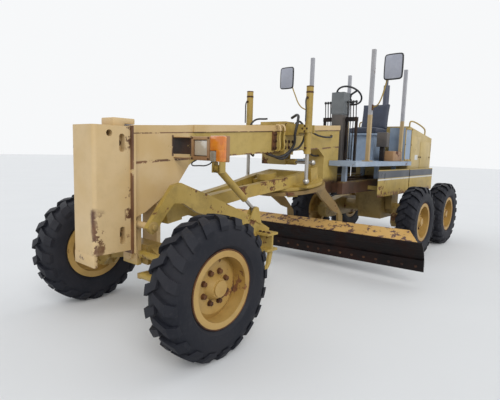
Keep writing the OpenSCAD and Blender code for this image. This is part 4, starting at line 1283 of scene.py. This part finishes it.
@dataclass(frozen=True)
class BeamTrim:
    """Grips, brackets, bolts and hoses on the box beam and the lift yoke."""

    half: float = 0.140
    top: float = 1.770
    grip_y: float = 1.735
    grip_pitch: float = 0.085
    yoke_out: float = 0.046
    yoke_rows: tuple[float, ...] = (1.885, 1.960, 2.035)
    barrel: Point = (0.450, 1.960, 1.850)
    barrel_front: float = 1.925

    def grips(self) -> None:
        """Bolts a double grip and its plate to each side of the beam."""
        bend = ((0.012, -0.292), (0.062, -0.284), (0.068, -0.14), (0.062, -0.004), (0.014, 0.002))
        for side in Side:
            s, bars = side.value, []
            for y in (self.grip_y, self.grip_y + self.grip_pitch):
                top = self.top + BEAM_RISE * y
                bars.append(Bench.tube("grip_bar", [at(s * (self.half + out), y, top + up) for out, up in bend], 0.011))
            Bench.hang(Bench.join(f"grips_{side.label}", bars), "root", "painted_frame", "beam_paint")
            plate = Bench.block_on(side, f"grip_plate_{side.label}", (self.half + 0.0005, self.half + 0.014),
                                   (self.grip_y - 0.060, self.grip_y + 0.020), (1.590, 1.806))
            Bench.hang(plate, "root", "painted_frame", "rust_ring")
            heads = [at(s * (self.half + 0.014), y, z) for y in (self.grip_y - 0.035, self.grip_y + 0.002)
                     for z in (1.62, 1.70, 1.78)]
            Bench.bolts(f"grip_bolts_{side.label}", heads, (s, 0, 0), 0.014)

    def yoke(self) -> None:
        """Adds the bolt rows of the lift yoke and the bolts of its trunnion caps."""
        first, _, last = self.yoke_rows
        across, back, height = self.barrel
        for side in Side:
            s = side.value
            face = s * (self.half + self.yoke_out)
            heads = [at(face, y, z) for y in self.yoke_rows for z in (1.63, 1.70)]
            heads += [at(face, y, 1.895) for y in (first, last)]
            Bench.bolts(f"yoke_bolts_{side.label}", heads, (s, 0, 0), 0.015)
            turns = [quarter * math.tau / 4 for quarter in range(4)]
            ring = [at(s * across + 0.030 * math.cos(a), back - 0.078, height + 0.030 * math.sin(a)) for a in turns]
            Bench.bolts(f"trunnion_bolts_{side.label}", ring, (0, -1, 0), 0.008, 0.009)

    def collars(self) -> None:
        """Adds the head caps, ports and pipes of the lift cylinders, on the barrels themselves."""
        across, back, _ = self.barrel
        for side in Side:
            x, body = side.value * across, f"lift_barrel_{side.label}"
            rings = [Bench.rod("head_cap", at(x, back, 2.322), at(x, back, 2.3345), 0.0425, 0.003, 40),
                     Bench.rod("head_band", at(x, back, 2.255), at(x, back, 2.275), 0.0435, 0.002, 40)]
            rings += [Bench.rod("port", at(x, self.barrel_front, z), at(x, end, z), 0.014, 0.002, 6)
                      for end, z in ((1.898, 2.200), (1.900, 1.630))]
            Bench.hang(Bench.join(f"lift_caps_{side.label}", rings), body, "painted_frame", "rust_ring")
            bow = side.value * (across + 0.0055)
            pipe = Bench.tube(f"lift_pipe_{side.label}", [at(x, 1.902, 2.200), at(x, 1.886, 2.185),
                                                          at(bow, 1.884, 2.06), at(bow, 1.884, 1.93)], 0.0075)
            Bench.hang(pipe, body, "painted_frame", "hose_rubber", 60.0)

    def hoses(self) -> None:
        """Runs the hoses from under the beam over the lift yoke, with their fittings."""
        for hose in HOSES:
            pipe = Bench.tube(hose.name, [at(*point) for point in hose.path], hose.radius)
            Bench.hang(pipe, "root", "painted_frame", "hose_rubber", 60.0)
        joints = [Bench.rod("fitting", at(s * 0.150, y, z), at(s * 0.128, y, z), 0.020, 0.002, 6)
                  for s, y, z in ((1, 1.60, 1.552), (1, 1.66, 1.552), (-1, 1.64, 1.552), (1, 2.20, 1.890),
                                  (1, 3.05, 1.815))]
        Bench.hang(Bench.join("hose_fittings", joints), "root", "painted_frame", "bolt_rust")

    def build(self) -> None:
        """Builds the beam's trim."""
        self.grips()
        self.yoke()
        self.collars()
        self.hoses()


@dataclass(frozen=True)
class CircleTrim:
    """The circle's inner teeth."""

    pivot: Point = (0.0, 0.250, 0.985)
    reach: float = 1.950
    drop: float = 0.130
    radius: float = 0.408
    tilt: float = 8.4
    yaw: float = 3.8
    teeth: int = 54
    tooth_half: float = 0.010
    tooth_height: float = 0.0215

    @property
    def place(self) -> Matrix:
        """The circle's own axes in the frame."""
        return (Matrix.Translation(at(*self.pivot)) @ Matrix.Rotation(math.radians(self.tilt), 4, "X")
                @ Matrix.Translation((0.0, self.reach, -self.drop)) @ Matrix.Rotation(math.radians(self.yaw), 4, "Z"))

    def build(self) -> None:
        """Builds the ring of inner teeth, each narrower towards its tip."""
        pieces = []
        for index in range(self.teeth):
            turn = index * math.tau / self.teeth
            tooth = Bench.block("tooth", (self.radius - 0.020, -self.tooth_half, -self.tooth_height),
                                (self.radius + 0.004, self.tooth_half, self.tooth_height), 0.0)
            Bench.apply_place(tooth)
            for vertex in tooth.data.vertices:
                if vertex.co.x < self.radius - 0.010:
                    vertex.co.y *= 0.55
            tooth.data.transform(Matrix.Rotation(turn, 4, "Z"))
            pieces.append(tooth)
        whole = Bench.join("circle_teeth", pieces)
        whole.data.transform(self.place)
        Bench.hang(whole, "blade_circle", "rusty_paint")


@dataclass(frozen=True)
class ScarifierTrim:
    """Pin caps of the scarifier's arms and the bolts that clamp its teeth."""

    arm_face: float = 0.352
    pin_y: float = -0.140
    pin_z: float = 0.940
    teeth: int = 9
    span: float = 0.900
    bolt_y: float = 1.235
    bolt_z: float = 0.724
    bolt_shift: float = 0.032

    def build(self) -> None:
        """Builds the caps and bolts on the scarifier's body."""
        caps = []
        for side in reversed(Side):
            s = side.value
            for name, low, high, radius, edge, sides in (("pin_cap", 0.0, 0.012, 0.047, 0.003, 32),
                                                         ("pin_nut", 0.011, 0.030, 0.024, 0.002, 6)):
                caps.append(Bench.rod(name, at(s * (self.arm_face + low), self.pin_y, self.pin_z),
                                      at(s * (self.arm_face + high), self.pin_y, self.pin_z), radius, edge, sides))
        Bench.hang(Bench.join("scarifier_caps", caps), "scarifier", "painted_frame", "casting_paint")
        heads = []
        for index in range(self.teeth):
            x = -self.span / 2 + index * self.span / (self.teeth - 1)
            heads += [at(x + shift, self.bolt_y, self.bolt_z) for shift in (-self.bolt_shift, self.bolt_shift)]
        Bench.bolts("tooth_bolts", heads, (0, 0, 1), 0.014, 0.014, body="scarifier")


@dataclass(frozen=True)
class BladeTrim:
    """Bolts along the cutting edge."""

    count: int = 19
    pitch: float = 0.165
    start: float = 0.4

    def build(self) -> None:
        """Sets the bolts on the cutting edge's face, found by a ray from in front of it."""
        edge = frame["nodes"]["cutting_edge"]
        body = body_of(edge)[0]
        low, high = (Vector(corner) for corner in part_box("cutting_edge"))
        yaw = Matrix.Rotation(math.radians(CircleTrim().yaw), 4, "Z")
        face = Vector((0.0, -1.0, 0.05))
        face.rotate(yaw)
        along = Vector((1.0, 0.0, 0.0))
        along.rotate(yaw)
        shape = edge.evaluated_get(bpy.context.evaluated_depsgraph_get())
        inward = edge.matrix_world.inverted()
        heads = []
        for index in range(self.count):
            spot = (low + high) / 2 + (index - (self.count - 1) / 2) * self.pitch * along
            hit, place, _, _ = shape.ray_cast(inward @ (spot + self.start * face), inward.to_3x3() @ -face)
            if hit:
                heads.append(tuple(edge.matrix_world @ place))
        Bench.bolts("edge_bolts", heads, tuple(face), 0.012, 0.005, body=body, slot="blade_rust")


@dataclass(frozen=True)
class Seat:
    """The padded seat: a cushion and a backrest with sewn channels, and the hinge between them."""

    share: float = 0.97
    ribs: int = 7
    cushion_y: float = 4.580
    cushion_z: float = 1.925 + 0.0515
    cushion_size: Span = (0.455, 0.100)
    back_y: float = 4.822
    back_z: float = 2.225
    back_size: Span = (0.430, 0.075)
    back_lean: float = 0.070
    # How high a pad is at its corners, and how much lower its channels lie, as shares of its height
    corner_height: float = 0.62
    channel_depth: float = 0.12
    rounding: float = 0.06

    def pad(self, name: str, size: Point, crown: float, pull: float) -> bpy.types.Object:
        """Models a stuffed pad with sewn channels, lying flat with its crown up.

        Args:
            name: object name.
            size: width, length and thickness.
            crown: how far its middle rises.
            pull: how far its sides pull in between its corners.

        Returns:
            The pad about the origin.
        """
        Bench.clear()
        bpy.ops.mesh.primitive_cube_add(size=1.0)
        thing = bpy.context.object
        thing.name = name
        bpy.ops.object.mode_set(mode="EDIT")
        bpy.ops.mesh.subdivide(number_cuts=23)
        bpy.ops.object.mode_set(mode="OBJECT")
        for vertex in thing.data.vertices:
            x, y, z = (2 * c for c in vertex.co)
            round_x = (1 - abs(x) ** 6) ** 0.5 if abs(x) < 1 else 0.0
            round_y = (1 - abs(y) ** 6) ** 0.5 if abs(y) < 1 else 0.0
            swell = round_x * round_y
            groove = abs(math.sin(math.pi * self.ribs * (x + 1) / 2)) ** 0.5 if abs(y) < 0.9 else 1.0
            if z > 0:
                up = self.corner_height + (1 - self.corner_height) * swell + (crown / size[2]) * swell * swell
                z = z * up * (1 - self.channel_depth + self.channel_depth * groove)
            side = 1 - pull * (1 - y * y) * abs(x) ** 3 - self.rounding * abs(z) ** 4 * abs(x) ** 6
            end = 1 - pull * (1 - x * x) * abs(y) ** 3 - self.rounding * abs(z) ** 4 * abs(y) ** 6
            vertex.co = (x * side * size[0] / 2, y * end * size[1] / 2, z * size[2] / 2)
        smooth = thing.modifiers.new("soft", "SUBSURF")
        smooth.levels = 1
        Bench.apply(thing)
        return thing

    def cover(self, pad: bpy.types.Object, place: Matrix) -> None:
        """Puts a pad in its place, dresses it and lets it stand for the plain seat.

        Args:
            pad: the pad about the origin.
            place: where it goes.
        """
        pad.data.transform(place)
        Bench.hang(pad, "root", "seat_cover", angle=60.0)
        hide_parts("seat")

    def build(self) -> None:
        """Builds the cushion and the backrest in place of the plain seat, and the hinge."""
        low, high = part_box("seat")
        width = (high[0] - low[0]) * self.share
        cushion = self.pad("seat_cushion", (width, *self.cushion_size), 0.012, 0.02)
        self.cover(cushion, Matrix.Translation(at(0.0, self.cushion_y, self.cushion_z)))
        back = self.pad("seat_back", (width, *self.back_size), 0.010, 0.03)
        lean = math.radians(90.0) - math.atan2(self.back_lean, self.back_size[0])
        self.cover(back, Matrix.Translation(at(0.0, self.back_y, self.back_z)) @ Matrix.Rotation(lean, 4, "X"))
        hinge = Bench.prism("seat_hinge", [(4.760, 1.930), (4.830, 1.930), (4.872, 2.120), (4.850, 2.125),
                                           (4.812, 1.985), (4.760, 1.975)], (-0.17, 0.17), 0.004)
        Bench.hang(hinge, "root", "seat_cover", "lever_steel")


@dataclass(frozen=True)
class LeverTrim:
    """The black knobs of the control levers and the rods below them."""

    count: int = 4
    middle: float = 0.190
    pitch: float = 0.044
    rod_y: float = 3.560
    knob_y: float = 3.540
    knob_z: float = 2.341
    deck: float = 1.4755
    lever_foot: float = 2.061

    def build(self) -> None:
        """Puts a knob and a rod on each lever of both rows."""
        balls, rods = [], []
        for side in reversed(Side):
            for index in range(self.count):
                x = side.value * self.middle - 1.5 * self.pitch + self.pitch * index
                Bench.clear()
                bpy.ops.mesh.primitive_uv_sphere_add(segments=20, ring_count=12, radius=0.0200,
                                                     location=at(x, self.knob_y, self.knob_z))
                ball = bpy.context.object
                ball.scale = (1.0, 1.0, 1.12)
                balls.append(ball)
                rods.append(Bench.rod("linkage", at(x, self.rod_y, self.deck), at(x, self.rod_y, self.lever_foot),
                                      0.006, 0.001, 12))
        Bench.hang(Bench.join("lever_knobs", balls), "root", "lever_steel", "knob_black", 60.0)
        Bench.hang(Bench.join("lever_rods", rods), "root", "lever_steel")


@dataclass(frozen=True)
class DeckTrim:
    """Frames of the side panels, the small boxes on the deck and the handrails on the hood."""

    face: float = 0.5405
    proud: float = 0.008
    deck: float = 1.4755
    panel_y: tuple[float, float, float, float] = (4.850, 4.875, 5.135, 5.160)
    panel_z: tuple[float, float, float, float] = (1.480, 1.510, 2.012, 2.040)
    rail_x: float = 0.470

    def panels(self) -> None:
        """Frames the panel on each side with strips and bolts."""
        y0, y1, y2, y3 = self.panel_y
        z0, z1, z2, z3 = self.panel_z
        strips = (((y0, y1), (z0, z3)), ((y2, y3), (z0, z3)), ((y1, y2), (z2, z3)), ((y1, y2), (z0, z1)))
        for side in Side:
            bars = [Bench.block_on(side, "panel_edge", (self.face - 0.001, self.face + self.proud), y, z, 0.002)
                    for y, z in strips]
            Bench.hang(Bench.join(f"panel_frame_{side.label}", bars), "root", "slate_paint", "painted_frame")
            heads = [at(side.value * (self.face + self.proud), y, z) for y in (4.862, 5.147)
                     for z in (1.50, 1.76, 2.02)]
            Bench.bolts(f"panel_bolts_{side.label}", heads, (side.value, 0, 0), 0.007, 0.006, slot="slate_paint")

    def boxes(self) -> None:
        """Stands the switch box and the tool case beside the seat."""
        for name, low, high, edge, finish in (
                ("switch_box", (0.300, 4.240, 1.700), (0.470, 4.345, 1.930), 0.010, "console_paint"),
                ("switch_stand", (0.350, 4.265, self.deck), (0.420, 4.320, 1.702), 0.003, "lever_steel"),
                ("tool_case", (0.310, 4.400, self.deck), (0.530, 4.760, 1.640), 0.008, "lamp_housing")):
            Bench.hang(Bench.block(name, at(*low), at(*high), edge), "root", "slate_paint", finish)

    def rails(self) -> None:
        """Bends a handrail along each edge of the hood."""
        bend = ((5.215, 2.084), (5.225, 2.150), (5.290, 2.176), (6.000, 2.092), (6.060, 2.060), (6.068, 1.975))
        for side, name in ((Side.LEFT, "handrail"), (Side.RIGHT, "handrail_right")):
            rail = Bench.tube(name, [at(side.value * self.rail_x, y, z) for y, z in bend], 0.013)
            Bench.hang(rail, "root", "painted_frame")

    def build(self) -> None:
        """Builds the panels' frames, the boxes and the handrails."""
        self.panels()
        self.boxes()
        self.rails()


@dataclass(frozen=True)
class HoodTrim:
    """Doors, catches, blank plates and tail lamps of the hood."""

    side_face: float = 0.4795
    door_face: float = 0.487
    foot: float = 1.245
    doors: tuple[Span, Span] = ((5.235, 5.800), (5.840, 6.405))
    catch_y: tuple[float, ...] = (5.260, 5.775, 5.865, 6.380)
    hood_top: float = 2.085
    hood_front: float = 5.2
    hood_length: float = 1.24
    hood_fall: float = 0.160
    margin: float = 0.090

    def door_top(self, y: float) -> float:
        """Gives the height of a door's top edge, which keeps below the sloping hood, from its rear edge."""
        return self.hood_top - self.hood_fall * (y - self.hood_front) / self.hood_length - self.margin

    def build(self) -> None:
        """Builds the hood's trim on both sides."""
        for side in Side:
            s, label = side.value, side.label
            leaves = [Bench.block_on(side, "hood_door", (self.side_face, self.door_face), door,
                                     (self.foot, self.door_top(door[1])), 0.005) for door in self.doors]
            Bench.hang(Bench.join(f"hood_doors_{label}", leaves), "root", "painted_frame", "hood_paint")
            heads = [at(s * self.door_face, y, z) for y in self.catch_y for z in (1.30, 1.55)]
            Bench.bolts(f"hood_catches_{label}", heads, (s, 0, 0), 0.012, 0.010)
            plate = Bench.block_on(side, f"blank_plate_{label}", (self.door_face - 0.0005, self.door_face + 0.0015),
                                   (5.545, 5.700), (1.500, 1.590), 0.0008)
            Bench.hang(plate, "root", "painted_frame", "blank_plate")
            lamp = Bench.block_on(side, f"tail_lamp_{label}", (0.505, 0.555), (6.422, 6.452), (1.180, 1.290), 0.008)
            Bench.hang(lamp, "root", "lamp_housing", "amber_lens")


@dataclass(frozen=True)
class Mirrors:
    """Both mirrors: plates with rounded corners, black rims, bent arms and clamps."""

    x: float = 0.860
    y: float = 3.330
    z: float = 2.740
    half_width: float = 0.116
    half_height: float = 0.156
    half_thick: float = 0.011
    corner: float = 0.030
    rim_radius: float = 0.0125
    arm_radius: float = 0.0095

    def plate(self, side: Side) -> None:
        """Models one mirror's plate in place of the plain one.

        Args:
            side: the side.
        """
        plate = Bench.block_on(side, f"mirror_{side.label}", (self.x - self.half_width, self.x + self.half_width),
                               (self.y - self.half_thick, self.y + self.half_thick),
                               (self.z - self.half_height, self.z + self.half_height), 0.003)
        Bench.round_edges(plate, self.corner, 6,
                          lambda edge: abs(edge.verts[0].co.y - edge.verts[1].co.y) > self.half_thick)
        Bench.hang(plate, "root", "mirror_shell")
        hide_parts("mirrors")

    def rim(self, side: Side) -> None:
        """Runs the black rim round one mirror's edge.

        Args:
            side: the side.
        """
        wide, tall = self.half_width - self.corner, self.half_height - self.corner
        ring = []
        for index, (right, up) in enumerate(((1, 1), (-1, 1), (-1, -1), (1, -1))):
            for step in range(4):
                a = math.radians(90 * index + 30 * step)
                x = self.x + right * wide + self.corner * math.cos(a)
                ring.append(at(side.value * x, self.y, self.z + up * tall + self.corner * math.sin(a)))
        Bench.hang(Bench.tube(f"mirror_rim_{side.label}", ring, self.rim_radius, closed=True), "root",
                   "mirror_shell", "knob_black", 60.0)

    def arm(self, side: Side) -> None:
        """Bends the arm from the canopy post to one mirror, and clamps both its ends.

        Args:
            side: the side.
        """
        bend = ((0.533, 3.500, 2.240), (0.600, 3.476, 2.262), (0.650, 3.440, 2.300), (0.740, 3.386, 2.500),
                (0.796, 3.352, 2.680))
        arm = Bench.tube(f"mirror_arm_{side.label}", [at(side.value * x, y, z) for x, y, z in bend], self.arm_radius)
        Bench.hang(arm, "root", "mirror_shell", "painted_frame")
        clamps = [Bench.block_on(side, "clamp", (0.5253, 0.537), (3.475, 3.525), (2.200, 2.280), 0.003),
                  Bench.block_on(side, "clamp", (0.782, 0.812), (3.340, 3.360), (2.640, 2.700), 0.003)]
        Bench.hang(Bench.join(f"mirror_clamps_{side.label}", clamps), "root", "mirror_shell", "rust_ring")

    def build(self) -> None:
        """Builds both mirrors."""
        for side in Side:
            self.plate(side)
            self.rim(side)
            self.arm(side)


@dataclass(frozen=True)
class Sun:
    """A distant lamp: where it stands, how far its light spreads in degrees, and its strength."""

    name: str
    place: Point
    spread: float
    power: float

    def build(self) -> None:
        """Sets the lamp up, turned to the machine."""
        data = bpy.data.lights.new(self.name, "SUN")
        data.angle = math.radians(self.spread)
        data.energy = self.power
        thing = bpy.data.objects.new(self.name, data)
        thing.location = self.place
        thing.rotation_euler = (-Vector(self.place)).to_track_quat("-Z", "Y").to_euler()
        bpy.context.collection.objects.link(thing)


@dataclass(frozen=True)
class Stage:
    """Camera, lamps, floor and backdrop."""

    camera_at: Point = (3.033, -2.119 + AXLE_Y, 1.585)
    yaw: float = 40.083
    pitch: float = 6.979
    roll: float = 1.761
    lens: float = 29.311
    sensor: float = 36.0
    sky: Colour = (0.90, 0.95, 1.0)
    sky_power: float = 0.62
    backdrop: Colour = (0.93, 0.94, 0.95)
    suns: tuple[Sun, ...] = (Sun("key", (8.8, -6.4, 7.6), 40.0, 1.80), Sun("fill", (-7.0, -3.0, 6.0), 60.0, 0.50),
                             Sun("back", (2.0, 8.0, 7.0), 60.0, 0.45))

    def camera(self) -> None:
        """Places the camera at the photograph's view."""
        data = bpy.data.cameras.new("camera")
        data.lens = self.lens
        data.sensor_width = self.sensor
        data.clip_end = 200.0
        thing = bpy.data.objects.new("camera", data)
        bpy.context.collection.objects.link(thing)
        turn = (Matrix.Rotation(math.radians(self.yaw), 4, "Z")
                @ Matrix.Rotation(math.radians(90.0 - self.pitch), 4, "X")
                @ Matrix.Rotation(math.radians(self.roll), 4, "Z"))
        thing.matrix_world = Matrix.Translation(self.camera_at) @ turn
        bpy.context.scene.camera = thing

    def backdrops(self) -> None:
        """Lights from a soft sky, and shows a pale backdrop to the camera and in reflections."""
        world = bpy.data.worlds.new("studio")
        bpy.context.scene.world = world
        world.use_nodes = True
        tree = world.node_tree
        tree.nodes.clear()
        out = tree.nodes.new("ShaderNodeOutputWorld")
        mixer = tree.nodes.new("ShaderNodeMixShader")
        for socket, colour, power in ((mixer.inputs[1], self.sky, self.sky_power),
                                      (mixer.inputs[2], self.backdrop, 1.0)):
            light = tree.nodes.new("ShaderNodeBackground")
            light.inputs[0].default_value = (*colour, 1.0)
            light.inputs[1].default_value = power
            tree.links.new(light.outputs[0], socket)
        path = tree.nodes.new("ShaderNodeLightPath")
        seen = path.outputs["Is Camera Ray"]
        for ray in ("Is Glossy Ray", "Is Transmission Ray"):
            either = tree.nodes.new("ShaderNodeMath")
            either.operation = "MAXIMUM"
            tree.links.new(seen, either.inputs[0])
            tree.links.new(path.outputs[ray], either.inputs[1])
            seen = either.outputs[0]
        tree.links.new(seen, mixer.inputs[0])
        tree.links.new(mixer.outputs[0], out.inputs[0])

    def floor(self) -> None:
        """Lays the pale floor."""
        Bench.clear()
        bpy.ops.mesh.primitive_plane_add(size=120.0, location=(0, 0, -0.001))
        thing = bpy.context.object
        thing.name = "floor"
        kit = Weave("floor")
        cloud = kit.ramp(kit.noise(0.8, 3.0, 0.5), 0.3, 0.7, 0.0, 0.3)
        kit.link(kit.mix(cloud, (0.70, 0.70, 0.70), (0.66, 0.66, 0.66)), kit.shader.inputs["Base Color"])
        kit.shader.inputs["Roughness"].default_value = 0.9
        thing.data.materials.append(kit.material)

    def build(self) -> None:
        """Sets the whole stage."""
        self.camera()
        self.backdrops()
        for sun in self.suns:
            sun.build()
        self.floor()
        bpy.context.scene.view_settings.view_transform = "Standard"


# Places of the axles, in metres: behind the front axle, and from the centre plane
WHEELBASE = 5.120
TANDEM_HALF = 0.687
FRONT_X = 0.900
REAR_X = 0.950
AXLES = (("front", FRONT_X, 0.0), ("mid", REAR_X, WHEELBASE - TANDEM_HALF), ("rear", REAR_X, WHEELBASE + TANDEM_HALF))


def main() -> None:
    """Builds the scene piece by piece."""
    logging.basicConfig(level=logging.INFO, format="%(message)s")
    Stage().build()
    WARDROBE.dress_frame()
    wheels = [Wheel(f"{axle}_{side.label}", side, x, y) for axle, x, y in AXLES for side in Side]
    for group in (*wheels, Weight(), Lamps(), BeamTrim(), CircleTrim(), ScarifierTrim(), BladeTrim(), Seat(),
                  LeverTrim(), DeckTrim(), HoodTrim(), Mirrors()):
        group.build()
        LOG.info("built %s", type(group).__name__)


if __name__ == "__main__":
    main()
